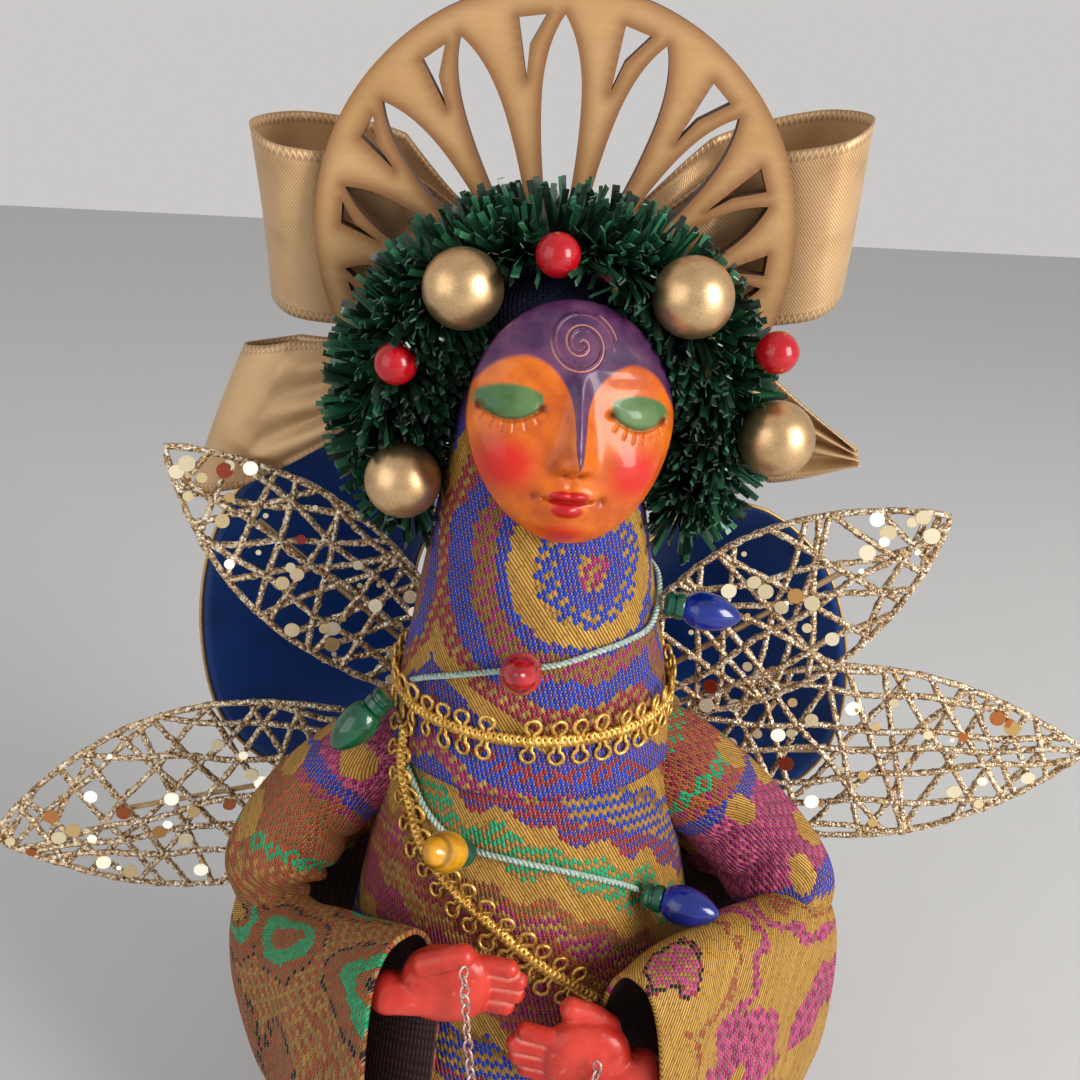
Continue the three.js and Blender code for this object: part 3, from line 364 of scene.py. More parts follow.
class Paint:
    def __init__(self, name):
        self.material = bpy.data.materials.new(name)
        self.material.use_nodes = True
        self.tree = self.material.node_tree
        self.tree.nodes.clear()

    def node(self, kind, settings, sockets, out=0):
        made = self.tree.nodes.new("ShaderNode" + kind)
        for key, value in settings.items():
            if key == "stops":
                ramp = made.color_ramp
                ramp.interpolation = settings.get("between", "LINEAR")
                while len(ramp.elements) < len(value):
                    ramp.elements.new(1.0)
                for element, (place, colour) in zip(ramp.elements, value):
                    element.position, element.color = place, (*colour, 1.0)[:4]
            elif key != "between":
                setattr(made, key, value)
        for key, value in sockets.items():
            socket = made.inputs[key]
            if isinstance(value, Value):
                self.tree.links.new(value.socket, socket)
            else:
                isColour = socket.type == "RGBA" and len(value) == 3
                socket.default_value = (*value, 1.0) if isColour else value
        return Value(self, made.outputs[out])

    def mix(self, share, first, second):
        return self.node("Mix", {"data_type": "RGBA"}, {0: share, 6: first, 7: second}, 2)

    def joined(self, x, y, z=0.0):
        return self.node("CombineXYZ", {}, {0: x, 1: y, 2: z})

    def split(self, where):
        # the x value, whose also(1) and also(2) are y and z
        return self.node("SeparateXYZ", {}, {0: where})

    def tinted(self, colour, amount):
        # a colour made lighter or darker by a value
        grey = self.joined(amount, amount, amount)
        return self.node("VectorMath", {"operation": "MULTIPLY"}, {0: colour, 1: grey})

    def ramp(self, place, stops, between="LINEAR"):
        return self.node("ValToRGB", {"stops": stops, "between": between}, {"Fac": place})

    def places(self):
        return self.node("TexCoord", {}, {}, "Object")

    def cloth(self):
        # the place on the flat pattern, and its two values in mm
        uv = self.node("UVMap", {"uv_map": "cloth"}, {})
        x = self.split(uv)
        return uv, x, x.also(1)

    def noise(self, where, size, detail=3.0, rough=0.55, out=0):
        # size is in the units of where
        sockets = {"Vector": where, "Scale": 1 / size, "Detail": detail, "Roughness": rough}
        return self.node("TexNoise", {}, sockets, out)

    def cells(self, where, size, feature="F1", out="Distance", loose=1.0):
        return self.node("TexVoronoi", {"feature": feature},
                         {"Vector": where, "Scale": 1 / size, "Randomness": loose}, out)

    def mask(self, name):
        return self.node("Attribute", {"attribute_name": name}, {}, "Fac")

    def bump(self, height, strength, distance):
        return self.node("Bump", {}, {"Height": height, "Strength": strength, "Distance": distance * mm})

    def shade(self, sockets):
        surface = self.node("BsdfPrincipled", {}, sockets)
        output = self.tree.nodes.new("ShaderNodeOutputMaterial")
        self.tree.links.new(surface.socket, output.inputs["Surface"])
        return self.material


# one grain sets the colour, the roughness and the bump, and clouds may shade the colour
def grainFinish(name, size, detail, colours, rough, bump, edges=None, more=None, clouds=None):
    paint = Paint(name)
    here = paint.places()
    grain = paint.noise(here, size, detail)
    share = grain
    if clouds:
        cloudSize, cloudDetail, cloudShare = clouds
        share = grain * 0.6 + paint.noise(here, cloudSize, cloudDetail) * cloudShare
    if edges:
        share = share.between(*edges)
    return paint.shade({
        "Base Color": paint.mix(share, *colours),
        "Roughness": rough[0] + rough[1] * grain,
        "Normal": paint.bump(grain, *bump),
        **(more or {}),
    })


def wireFinish(name, dark, light):
    return grainFinish(name, 0.0015, 4.0, (dark, light), (0.3, 0.3), (0.1, 0.05), more={"Metallic": 0.9})


def dress(piece, material, slot, body="doll", stands=()):
    if material:
        piece.data.materials.clear()
        piece.data.materials.append(material)
    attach(piece, body)
    if stands:
        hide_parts(*stands)
    return piece


def refinish(node, material):
    cadNodes[node].data.materials.clear()
    cadNodes[node].data.materials.append(material)


# woven brocade: short coloured floats in offset rows, and slanting gold floats where the stops say so
def ringDistance(paint, bent, look):
    # to the nearest of the named middles, or else of a loose grid of them
    if not look["centres"]:
        return paint.cells(bent, look["motif"], loose=0.75) * look["motif"]
    near = None
    for centreX, centreY in look["centres"]:
        where = (centreX + look["sway"] / 2, centreY + look["sway"] / 2, 0.0)
        ring = paint.node("VectorMath", {"operation": "DISTANCE"}, {0: bent, 1: where}, "Value")
        near = near.math("MINIMUM", ring) if near else ring
    return near


def brocade(name, changes, stops):
    look = {**weave, **changes}
    paint = Paint(name)
    uv, x, y = paint.cloth()
    wide, tall = look["thread"]
    slid = x + y * look["skew"]
    column = (slid / wide).floor()
    shift = (column % 2.0) * 0.5
    row = (y / tall + shift).floor()
    fx = slid / wide - column
    fy = y / tall + shift - row
    middleY = (row + 0.5 - shift) * tall
    middleX = (column + 0.5) * wide - middleY * look["skew"]
    middle = paint.joined(middleX, middleY)
    sway = paint.noise(middle, look["swaySize"], 1.0, 0.5, "Color")
    bent = paint.node("VectorMath", {"operation": "MULTIPLY_ADD"},
                      {0: sway, 1: (look["sway"], look["sway"], 0.0), 2: middle})
    bentX = paint.split(bent)
    near = ringDistance(paint, bent, look)
    zigzag = ((middleX / look["zigPitch"]).fract() - 0.5).math("ABSOLUTE") * (2 * look["zigzag"])
    band = (bentX.also(1) + bentX * look["slope"]) * look["bands"] + zigzag
    place = ((near * look["rings"] + band + look["start"]) / look["span"]).fract()
    most, some = [paint.ramp(place, [(stop[0] / look["span"], stop[k]) for stop in stops], "CONSTANT")
                  for k in (1, 2)]
    luck = paint.node("TexWhiteNoise", {"noise_dimensions": "2D"}, {"Vector": paint.joined(column, row)})
    odd = ((column + row * look["step"]) % look["every"]) < 0.5
    thread = paint.mix(odd.math("MAXIMUM", luck > 0.95), most, some)
    patch = paint.cells(bent, look["patch"], loose=0.6) * look["patch"] < look["patchReach"]
    gilt = most.also("Alpha").math("MAXIMUM", patch)
    inside = (1 - (2 * fx - 1) ** 4.0) * (1 - (2 * fy - 1) ** 4.0)
    lively = paint.tinted(thread, 0.65 + 0.6 * luck.also("Color"))
    floats = paint.mix(inside.between(0.15, 0.7), look["ground"], lively)
    cornerX = (0.5 - (fx - 0.5).math("ABSOLUTE")) * wide
    cornerY = (0.5 - (fy - 0.5).math("ABSOLUTE")) * tall
    corner = (cornerX ** 2.0 + cornerY ** 2.0).math("SQRT")
    floats = paint.mix(0.8 - 0.8 * corner.between(0.16, 0.34), floats, look["knot"])
    slant = (x * 0.8 + y * 0.5) / look["goldPitch"]
    strand = slant.floor()
    start = paint.node("TexWhiteNoise", {"noise_dimensions": "1D"}, {"W": strand})
    lie = ((y * 0.8 - x * 0.5) / look["goldFloat"] + start).fract()
    # painted sheen: each gold float is lighter along its middle and dark at its edges
    sheen = (slant - strand).hump().between(0.0, 0.8) * (0.55 + 0.45 * lie.hump().between(0.0, 0.3))
    goldSatin = paint.mix(sheen * (0.65 + 0.35 * start), look["goldDark"], look["goldLight"])
    cloud = paint.noise(uv, 21.0, 2.0)
    colour = paint.tinted(paint.mix(gilt, floats, goldSatin), 0.8 + 0.4 * cloud)
    # painted shade: above the crown height the neck cloth turns near-black navy, partly the navy ribbon wound
    # there and partly the shadow under the garland
    colour = paint.mix(y.between(look["crown"] - 3.0, look["crown"] + 3.0), colour, look["shadeLining"])
    height = gilt * sheen + (1 - gilt) * fx.hump() * inside
    return paint.shade({
        "Base Color": colour,
        "Metallic": gilt * 0.1,
        "Roughness": 0.66 - 0.18 * gilt * sheen,
        "Normal": paint.bump(height, 0.8, 0.4),
        "Specular IOR Level": 0.22,
    })


# sizes of the weave in mm; a cloth names only what it changes
weave = {
    "thread": (0.95, 1.35), "skew": 0.22, "sway": 9.0, "swaySize": 16.0,
    "motif": 30.0, "centres": [], "rings": 1.0, "bands": 0.0, "slope": 0.0,
    "zigzag": 0.0, "zigPitch": 12.0, "start": 0.0, "span": 50.0, "step": 2.0, "every": 3.0,
    "patch": 15.0, "patchReach": 0.0, "crown": 400.0, "shadeLining": (0.004, 0.006, 0.022),
    "ground": (0.012, 0.007, 0.009), "knot": (0.42, 0.3, 0.17),
    "goldPitch": 0.6, "goldFloat": 5.2, "goldDark": (0.16, 0.065, 0.011), "goldLight": (0.6, 0.335, 0.07),
}
gold = (0.5, 0.26, 0.045, 1.0)
ochre, brown, dark = (0.4, 0.2, 0.04, 0.0), (0.24, 0.1, 0.02, 0.0), (0.02, 0.009, 0.009, 0.0)
blue, violet = (0.012, 0.042, 0.42, 0.0), (0.07, 0.03, 0.27, 0.0)
magenta, pink, crimson = (0.32, 0.014, 0.12, 0.0), (0.52, 0.06, 0.19, 0.0), (0.3, 0.016, 0.04, 0.0)
rust, emerald = (0.37, 0.07, 0.02, 0.0), (0.006, 0.36, 0.14, 0.0)
# the neck cloth goes near-black navy above its crown: navy ribbon and painted shade
neckLook = {"centres": [(10.7, 186.9), (46.6, 180.1), (-52.0, 188.0)], "sway": 8.0, "crown": 223.0}
neckCloth = brocade("neck_brocade", neckLook, [
    (0, magenta, ochre), (4, blue, violet), (8, blue, ochre), (12, gold, gold), (17, blue, violet),
    (19.5, brown, magenta), (25, blue, violet), (29.5, crimson, ochre), (34, gold, gold), (38, violet, blue),
    (43, crimson, blue), (46.5, blue, violet)])
robeLook = {"rings": 0.2, "bands": 1.0, "slope": 0.4, "zigzag": 3.4, "start": -78.0, "span": 70.0,
            "every": 2.0, "step": 1.0}
robeCloth = brocade("robe_brocade", robeLook, [
    (0, blue, ochre), (8, brown, blue), (11, gold, gold), (17, rust, magenta), (23, magenta, crimson),
    (28, rust, ochre), (33, crimson, rust), (38, ochre, magenta), (43, rust, brown), (47, gold, gold),
    (53, emerald, ochre), (57, ochre, emerald), (61, gold, gold), (65, violet, crimson)])
armLook = {"rings": 0.1, "bands": 1.0, "start": -90.0, "span": 90.0, "sway": 5.0}
leftArm = brocade("left_arm_brocade", {**armLook, "patchReach": 4.6}, [
    (0, magenta, pink), (27, violet, blue), (31, magenta, rust), (34, rust, brown), (49, emerald, rust),
    (53, rust, ochre), (66, emerald, brown), (70, rust, brown)])
rightArm = brocade("right_arm_brocade", {**armLook, "patchReach": 4.2}, [
    (0, rust, brown), (9, rust, emerald), (14, rust, crimson), (22, emerald, rust), (25, rust, magenta),
    (29, violet, blue), (33, magenta, pink), (55, violet, blue), (60, gold, gold), (70, rust, ochre)])
leftBell = brocade("left_bell_brocade", {"motif": 27.0, "span": 34.0, "sway": 10.0, "swaySize": 13.0}, [
    (0, emerald, gold), (2.2, gold, gold), (6.4, dark, brown), (7.4, rust, brown), (8.8, emerald, emerald),
    (11.6, rust, brown), (14.5, dark, rust), (15.5, ochre, rust), (21, rust, ochre)])
rightBell = brocade("right_bell_brocade", {"motif": 36.0, "span": 40.0, "sway": 13.0, "swaySize": 9.0}, [
    (0, gold, gold), (2.4, pink, magenta), (6, magenta, pink), (9.5, pink, ochre), (11.5, dark, crimson),
    (12.6, gold, gold), (19, rust, ochre), (20.5, gold, gold), (24, pink, magenta), (27, gold, gold)])
print("cloth finishes ready")

# camera at the place that the photograph was taken from
view = {"place": (0.0, -243.0, 283.6), "down": 20.0, "roll": 2.8, "focal": 1150.0, "frame": 1080.0}
cameraData = bpy.data.cameras.new("camera")
cameraData.sensor_width = 36.0
cameraData.lens = cameraData.sensor_width * view["focal"] / view["frame"]
cameraData.clip_start = 0.01
camera = added("camera", cameraData)
camera.matrix_world = (Matrix.Translation(Vector(view["place"]) * mm)
                       @ Matrix.Rotation(math.radians(90 - view["down"]), 4, "X")
                       @ Matrix.Rotation(math.radians(view["roll"]), 4, "Z"))
bpy.context.scene.camera = camera
print("camera set")

# chain: oval links from the grip of one hand to the grip of the other
chain = {
    "left": (-11.0, -56.985, 123.2), "right": (17.0, -58.579, 102.5), "low": 62.0,
    "pitch": 2.25, "link": 1.02, "wire": 0.27, "oval": 1.42,
    "hang": [(0, 1), (0.03, 0.8), (0.08, 0.55), (0.15, 0.32), (0.26, 0.12), (0.42, 0.01), (0.58, 0.02),
             (0.74, 0.15), (0.87, 0.38), (0.94, 0.62), (0.98, 0.84), (1, 1)],
}


def chainLine():
    left, right = np.array(chain["left"]), np.array(chain["right"])
    route = []
    for share, height in chain["hang"]:
        end = left[2] if share < 0.5 else right[2]
        point = left + share * (right - left)
        point[2] = chain["low"] + height * (end - chain["low"])
        route.append(point)
    return spline(route, 400)


def makeChain():
    line = chainLine()
    count = int(lengthOf(line) / chain["pitch"]) + 1
    spots = spline(line, count)
    clearPick()
    bpy.ops.mesh.primitive_torus_add(major_radius=chain["link"] * mm, minor_radius=chain["wire"] * mm,
                                     major_segments=14, minor_segments=6)
    link = named("chain_link")
    inEdit(link, (bpy.ops.transform.resize, {"value": (chain["oval"], 1.0, 1.0)}))
    places = []
    for i, (spot, along) in enumerate(zip(spots, directions(spots))):
        side, other = around(along)
        turn = math.radians(45 + 90 * (i % 2) + chance.uniform(-12, 12))
        y = side * math.cos(turn) + other * math.sin(turn)
        places.append(placed(spot, along, y, np.cross(along, y)))
    piece = smoothed(strew("chain_links", link, places, chance.random(count)))
    silver = grainFinish("rose_silver", 0.0012, 4.0, ((0.5, 0.3, 0.26), (0.8, 0.62, 0.57)), (0.22, 0.3),
                         (0.15, 0.05), (0.35, 0.7), {"Metallic": 0.9})
    dress(piece, silver, "chain_metal", "chain_bight", ["chain"])


makeChain()
print("chain hung")

# light string: a twisted two-ply cord in two stretches
lights = {
    "radius": 0.7, "lift": 1.0, "twist": 2.3,
    "upper": [(112, 189), (92, 188), (75, 184.5), (60, 181.5), (44, 181), (28, 180.3), (10, 178.4),
              (-4, 177.4), (-20, 175.4), (-36, 172.6), (-50, 169.5), (-58, 167.2)],
    "lower": [(-54, 147.5), (-48, 145), (-41, 141.5), (-30, 138), (-19.6, 136.2), (-9, 135.6), (3, 134.5),
              (16, 132.3), (27, 129.4), (36, 126.4), (42, 123.8)],
}


def makeLightCord(stretch, offset, material):
    line = spline([onBody(np.array(a), h, offset + lights["lift"]) for a, h in lights[stretch]], 260)
    along = directions(line)
    turn = 2 * math.pi * np.arange(len(line)) / len(line) * lengthOf(line) / lights["twist"]
    out = unit(line * np.array([1, 1, 0]))
    side = unit(np.cross(along, out))
    plies = []
    for phase in (0, math.pi):
        wave = out * np.cos(turn + phase)[:, None] + side * np.sin(turn + phase)[:, None]
        plies.append(tube("ply", line + 0.5 * lights["radius"] * wave, 0.55 * lights["radius"]))
    piece = gather(stretch + "_light_cord", plies)
    dress(piece, material, "light_cord", "doll", ["light_cord_" + stretch])


cordPaint = grainFinish("pale_cord", 0.0006, 4.0, ((0.2, 0.3, 0.25), (0.52, 0.62, 0.55)), (0.75, 0.15),
                        (0.4, 0.1), (0.3, 0.7))
makeLightCord("upper", cone["wrap"], cordPaint)
makeLightCord("lower", cone["robe"], cordPaint)
print("light string laid")

# robe, neck wrap and the wad inside it
robe = {"hem": 1.5, "crown": 164.0, "folds": 9, "foldDepth": 3.2, "foldTop": 105.0, "crumple": 0.3}
wrap = {"hem": 149.0, "shoulder": 243.0, "crown": 256.0, "crumple": 0.35}
wad = {"foot": 165.3, "depth": 1.6, "bore": 4.3, "boreTop": 236.3, "lumps": 0.02}
bodyThick = 1.15


def unrolled(azimuth, height):
    # the cone's cloth laid flat, so the weave runs as it was cut
    slant = (cone["foot"] / math.tan(cone["lean"]) - height) / math.cos(cone["lean"])
    angle = np.radians(azimuth) * math.sin(cone["lean"])
    return np.stack([slant * np.sin(angle), 300 - slant * np.cos(angle)], -1)


def robeShape(u, v):
    azimuth, height = 360 * u - 180, robe["hem"] + v * (robe["crown"] - robe["hem"])
    fall = np.maximum(0, (robe["foldTop"] - height) / (robe["foldTop"] - robe["hem"]))
    fold = robe["foldDepth"] * fall * (0.5 + 0.5 * np.cos(robe["folds"] * np.radians(azimuth)))
    seam = np.sin(np.pi * u)  # both edges meet flat at the back
    wave = robe["crumple"] * ripple(0.14 * azimuth * seam, 0.16 * height, 3) * seam
    return onBody(azimuth, height, cone["robe"] - 0.05 + fold + np.minimum(0, wave))


def wrapShape(u, v):
    azimuth = 360 * u - 180
    height = wrap["hem"] + v * (wrap["crown"] - wrap["hem"])
    share = np.clip((height - wrap["shoulder"]) / (wrap["crown"] - wrap["shoulder"]), 0, 1)
    radius = np.where(share > 0, coneRadius(wrap["shoulder"]), coneRadius(height)) + cone["wrap"]
    radius = radius * np.sqrt(np.maximum(0, 1 - share * share))
    wave = wrap["crumple"] * ripple(0.2 * azimuth, 0.2 * height, 5) * np.sin(np.pi * u) * (1 - share)
    radius = radius - 0.05 + np.minimum(0, wave)
    angle = np.radians(azimuth)
    return np.stack([radius * np.sin(angle), -radius * np.cos(angle), height], -1)


def bodyCloth(name, across, along, shape, look, material, slot, node):
    def pattern(u, v):
        return unrolled(360 * u - 180, look["hem"] + v * (look["crown"] - look["hem"]))

    piece = clothSheet(name, across, along, shape, pattern, bodyThick, True)
    return dress(piece, material, slot, "doll", [node])


robePiece = bodyCloth("robe_cloth", 200, 90, robeShape, robe, robeCloth, "robe_brocade", "robe")
neckPiece = bodyCloth("neck_cloth", 160, 110, wrapShape, wrap, neckCloth, "neck_brocade", "neck_wrap")


def makeWad():
    foot, bore, boreTop = wad["foot"], wad["bore"], wad["boreTop"]
    inset = cone["wrap"] - wad["depth"] - bodyThick
    top = wrap["crown"] - wad["depth"] - bodyThick
    outline = [(bore, foot), (coneRadius(foot) + inset, foot)]
    for height in np.linspace(foot + 6, top, 14):
        share = max(0, (height - wrap["shoulder"]) / (top - wrap["shoulder"]))
        radius = coneRadius(min(height, wrap["shoulder"])) + inset
        outline.append((radius * math.sqrt(max(0, 1 - share * share)), height))
    outline += [(0, boreTop), (bore, boreTop), (bore, foot)]
    piece = turned("neck_wad", outline, 40, np.zeros(3), (0, 0, 1))
    points = pointsOf(piece)
    x, y, z = points.T
    lumps = 1 - wad["lumps"] * (1 + ripple(0.3 * x + 0.2 * z, 0.3 * y, 11))
    points[:, :2] *= np.where(np.hypot(x, y) > 6, lumps, 1.0)[:, None]
    setPoints(piece, points)
    cotton = grainFinish("cotton_wad", 0.004, 5.0, ((0.62, 0.58, 0.5), (0.84, 0.81, 0.74)), (0.95, 0.0),
                         (0.6, 0.6))
    dress(piece, cotton, "wadding", "doll", ["neck_stuffing"])


makeWad()
print("robe, neck wrap and wad made")

# gold gimp braid: a three-strand plait with a curled loop at each side
gimp = {
    "offset": 3.9, "chest": 2.5, "plait": 1.1, "yarn": 0.56, "stitch": 4.0, "pitch": 5.2,
    "collar": 162.0, "edge": 144.4, "ring": 1.55, "out": 3.0, "cord": 0.46,
    "tail": [(-58, 156), (-54.5, 147), (-49, 140), (-40, 133), (-27, 127), (-10, 120), (6.4, 111.5),
             (24, 102)],
}


def gimpLoop():
    turn = np.radians(np.linspace(-158, 158, 13))
    ring = np.stack([gimp["out"] + gimp["ring"] * np.cos(turn), gimp["ring"] * np.sin(turn),
                     0.3 + 0.25 * np.sin(turn)], -1)
    return tube("gimp_loop", np.vstack([(0.1, -0.5, 0), ring, (0.1, 0.5, 0)]), gimp["cord"], 6)


def makeGimp(name, line, closed, node, material):
    along = directions(line, closed)
    out = unit(line * np.array([1, 1, 0]))
    out = unit(out - along * np.sum(out * along, 1, keepdims=True))
    side = np.cross(along, out)
    step = np.linalg.norm(np.diff(line, axis=0, append=line[:1] if closed else line[-1:]), axis=1)
    run = np.concatenate([[0], np.cumsum(step)[:-1]])
    total = step.sum()
    stitch = total / round(total / gimp["stitch"])
    pieces = []
    for k in range(3):
        phase = (2 * math.pi * (run / stitch + k / 3))[:, None]
        path = line + side * gimp["plait"] * np.sin(phase) + out * 0.5 * np.cos(2 * phase)
        pieces.append(tube(name + "_yarn", path, gimp["yarn"], 6, closed))
    places = []
    for k in range(int(total / gimp["pitch"])):
        i = int(np.searchsorted(run, k * gimp["pitch"]))
        for way in (1, -1):
            lean = math.radians(chance.uniform(-10, 10))
            x = side[i] * math.cos(lean) * way + along[i] * math.sin(lean)
            foot = line[i] + side[i] * way * 0.5
            places.append(placed(foot, x, np.cross(out[i], x), out[i], chance.uniform(0.92, 1.1)))
    pieces.append(strew(name + "_loops", gimpLoop(), places, chance.random(len(places))))
    dress(smoothed(gather(name, pieces)), material, "gold_braid", "doll", [node])


def tailHeight(height):
    return gimp["offset"] if height > gimp["edge"] else gimp["chest"]


gimpPaint = grainFinish("gold_gimp", 0.0005, 3.0, ((0.34, 0.14, 0.012), (0.95, 0.6, 0.15)), (0.22, 0.25),
                        (0.5, 0.12), (0.3, 0.68), {"Metallic": 0.72}, (0.004, 2.0, 0.4))
collarLine = onBody(np.linspace(0, 360, 360, endpoint=False), gimp["collar"], gimp["offset"])
makeGimp("collar_gimp", collarLine, True, "collar_braid", gimpPaint)
tailLine = spline([onBody(np.array(a), h, tailHeight(h)) for a, h in gimp["tail"]], 200)
makeGimp("chest_gimp", tailLine, False, "front_braid", gimpPaint)
print("gold gimp sewn on")

# sleeves: a tube from shoulder to elbow and a bell that hangs from the forearm
sleeves = {
    "squareness": 0.75, "hug": 3.7, "thick": 1.1, "crumple": 0.7, "web": 1.1, "fold": 1.5, "crease": 0.13,
    "seam": {"left": (0.625, -96.0), "right": (0.875, 96.0), "drop": (0.0, 1.5, -18.0), "lift": 3.0},
    "left": {
        "upper": [(-22, -2, 149, 9, 11), (-36, -3, 141, 10, 12), (-51, -5, 127, 11, 13),
                  (-60, -9, 112, 11, 12), (-60, -12, 102, 8, 9)],
        "elbow": (-66, -10), "cuff": (-24, -49.586),
        "panel": [(0, 90, 107, 6), (0.1, 76, 109, 10.5), (0.35, 58, 111, 12), (0.7, 51, 119, 11.5),
                  (1, 52, 126, 10.5)],
    },
    "right": {
        "upper": [(22, -2, 149, 9, 11), (36, -3, 141, 10, 12), (53, -5, 126, 11, 13),
                  (63, -9, 113, 11, 13), (64, -12, 104, 8, 9)],
        "elbow": (72, -10), "cuff": (24, -52.479),
        "panel": [(0, 78, 112, 6), (0.1, 60, 116, 10.5), (0.35, 51, 118.5, 12), (0.7, 49, 121, 11.5),
                  (1, 50, 120, 10.5)],
    },
}


def shadedLiningFinish():
    # painted shade: the lining is near black, for the inside of the sleeves and the shade under the arms
    paint = Paint("sleeve_lining_painted_shade")
    uv, x, y = paint.cloth()
    weft = (y / 0.8).fract().hump()
    warp = (x / 0.9).fract().hump()
    cloud = paint.noise(uv, 9.0, 3.0)
    worn = (0.5 * weft * warp + 0.6 * cloud).between(0.2, 0.9)
    return paint.shade({
        "Base Color": paint.mix(worn, (0.012, 0.004, 0.006), (0.07, 0.018, 0.016)),
        "Roughness": 0.8 - 0.1 * weft,
        "Normal": paint.bump(weft * warp, 0.5, 0.25),
    })


def columnsAt(rows, share):
    stops = np.linspace(0, 1, len(rows))
    return [np.interp(share, stops, rows[:, k]) for k in range(rows.shape[1])]


def rounded(share):
    return np.sign(share) * np.abs(share) ** sleeves["squareness"]


def upperSleeve(side):
    rows = spline(sleeves[side]["upper"], 60)
    ways = directions(rows[:, :3])
    across = unit(np.cross([0, 0, 1.0], ways))
    rise = np.cross(ways, across)
    table = np.hstack([rows, across, rise])

    def place(u, v):
        x, y, z, half, tall, *axes = columnsAt(table, v)
        angle = 2 * math.pi * u
        give = 1.03 - 0.07 * (1 + ripple(7 * v, 3 * np.cos(angle) + 2 * np.sin(angle), 21))
        crease = (0.5 + 0.5 * np.sin(34 * v + 2.4 * np.cos(angle) + 0.8 * np.sin(3 * angle))) ** 3
        give = give - sleeves["crease"] * smooth(0.3, 0.65, v) * smooth(0.8, 0.0, np.sin(angle)) * crease
        back = np.maximum(0, np.cos(angle) * np.sign(axes[1]))
        reach = 1 + sleeves["web"] * np.maximum(0, -np.sin(angle)) * np.minimum(1, 2 * back)
        wide = half * give * rounded(np.cos(angle))
        high = tall * give * reach * rounded(np.sin(angle))
        middle = np.stack([x, y, z], -1)
        return middle + wide[:, None] * np.stack(axes[:3], -1) + high[:, None] * np.stack(axes[3:], -1)

    return place, lengthOf(rows[:, :3])


def bellSleeve(side):
    rows = spline(sleeves[side]["panel"], 60)
    elbow, cuff = np.array(sleeves[side]["elbow"], float), np.array(sleeves[side]["cuff"], float)
    way = unit(cuff - elbow)
    across = np.array([-way[1], way[0]])

    def place(u, v):
        low, high, half = (np.interp(v, rows[:, 0], rows[:, k]) for k in (1, 2, 3))
        angle = 2 * math.pi * u
        crumple = ripple(9 * v, 2.5 * np.cos(angle) + 5 * np.sin(angle), 23 + len(side))
        crumple = crumple * np.minimum(1, 6 * v)
        fold = smooth(0.1, 0.45, v) * (0.5 + 0.5 * np.sin(17 * v + 1.4 * np.sin(angle) + len(side)))
        wave = sleeves["crumple"] * crumple + sleeves["fold"] * fold
        wide = (half - 0.6 + wave) * rounded(np.cos(angle))
        flat = elbow + v[:, None] * (cuff - elbow) + wide[:, None] * across
        z = (low + high) / 2 + (high - low) / 2 * rounded(np.sin(angle))
        radius = np.hypot(flat[:, 0], flat[:, 1])
        flat = flat * np.maximum(1, (coneRadius(z) + cone["robe"] + sleeves["hug"]) / radius)[:, None]
        return np.column_stack([flat, z])

    return place, float(np.linalg.norm(cuff - elbow))


def shadePanel(side, upper):
    # a near-black sheet joins the back of the sleeve to the robe: painted shade between arm and body, so no
    # light comes through there
    seam = sleeves["seam"]
    turn, azimuth = seam[side]
    shares = np.linspace(0.25, 1.0, 6)
    edge = upper(np.full(6, turn), shares)
    edge = spline(np.vstack([edge, edge[-1] + seam["drop"]]), 30)
    body = np.array([onBody(np.array(azimuth), z + seam["lift"], cone["robe"] - 1.0) for z in edge[:, 2]])
    table = np.hstack([body, edge])

    def place(u, v):
        columns = np.stack(columnsAt(table, v), -1)
        sag = 0.8 * np.sin(math.pi * u) * (1 + ripple(2 * u, 4 * v, 31))
        return columns[:, :3] + u[:, None] * (columns[:, 3:] - columns[:, :3]) + sag[:, None] * [0, 1.0, 0]

    return place


def makeSleeve(side, armCloth, bellCloth, shadeLining):
    upper, upperLength = upperSleeve(side)
    bell, bellLength = bellSleeve(side)
    thick = sleeves["thick"]
    arm = clothSheet(side + "_upper_sleeve", 72, 60, upper,
                     lambda u, v: np.stack([78 * u, 90 + upperLength * v], -1),
                     thick, True, [armCloth, shadeLining])
    hanging = clothSheet(side + "_bell", 120, 80, bell,
                         lambda u, v: np.stack([bellLength * v, 150 * u], -1),
                         thick, True, [bellCloth, shadeLining])
    back = clothSheet(side + "_back_panel", 16, 40, shadePanel(side, upper),
                      lambda u, v: np.stack([14 * u, 50 * v], -1), thick, False, [shadeLining])
    piece = gather(side + "_sleeve_cloth", [arm, hanging, back])
    dress(piece, None, "sleeve_brocade", "doll", [side + "_sleeve"])


shadedLiningCloth = shadedLiningFinish()
makeSleeve("left", leftArm, leftBell, shadedLiningCloth)
makeSleeve("right", rightArm, rightBell, shadedLiningCloth)
print("sleeves made")

# hands: clay pressed from a wrist, a palm, four fingers and a thumb
hands = {
    "left": (-25.0, -49.586, 111.0), "right": (25.0, -52.479, 96.0), "grain": 0.42,
    "tips": [(25, 8.3), (27, 5.2), (26.5, 1.9), (24.5, -1.3)], "pitch": 3.3, "finger": 2.0,
    "palm": [9.5, 4.4, 8.8], "palmMiddle": [10.0, 0.0, 3.0],
    "wrist": [(-2.0, 0, 0), (6, 0, 0)], "wristRadius": 4.6,
    "thumb": [(5.5, -2.2, 9.4), (9.5, -3.0, 11.4), (13.5, -3.0, 12.6)], "thumbRadius": 2.6,
}


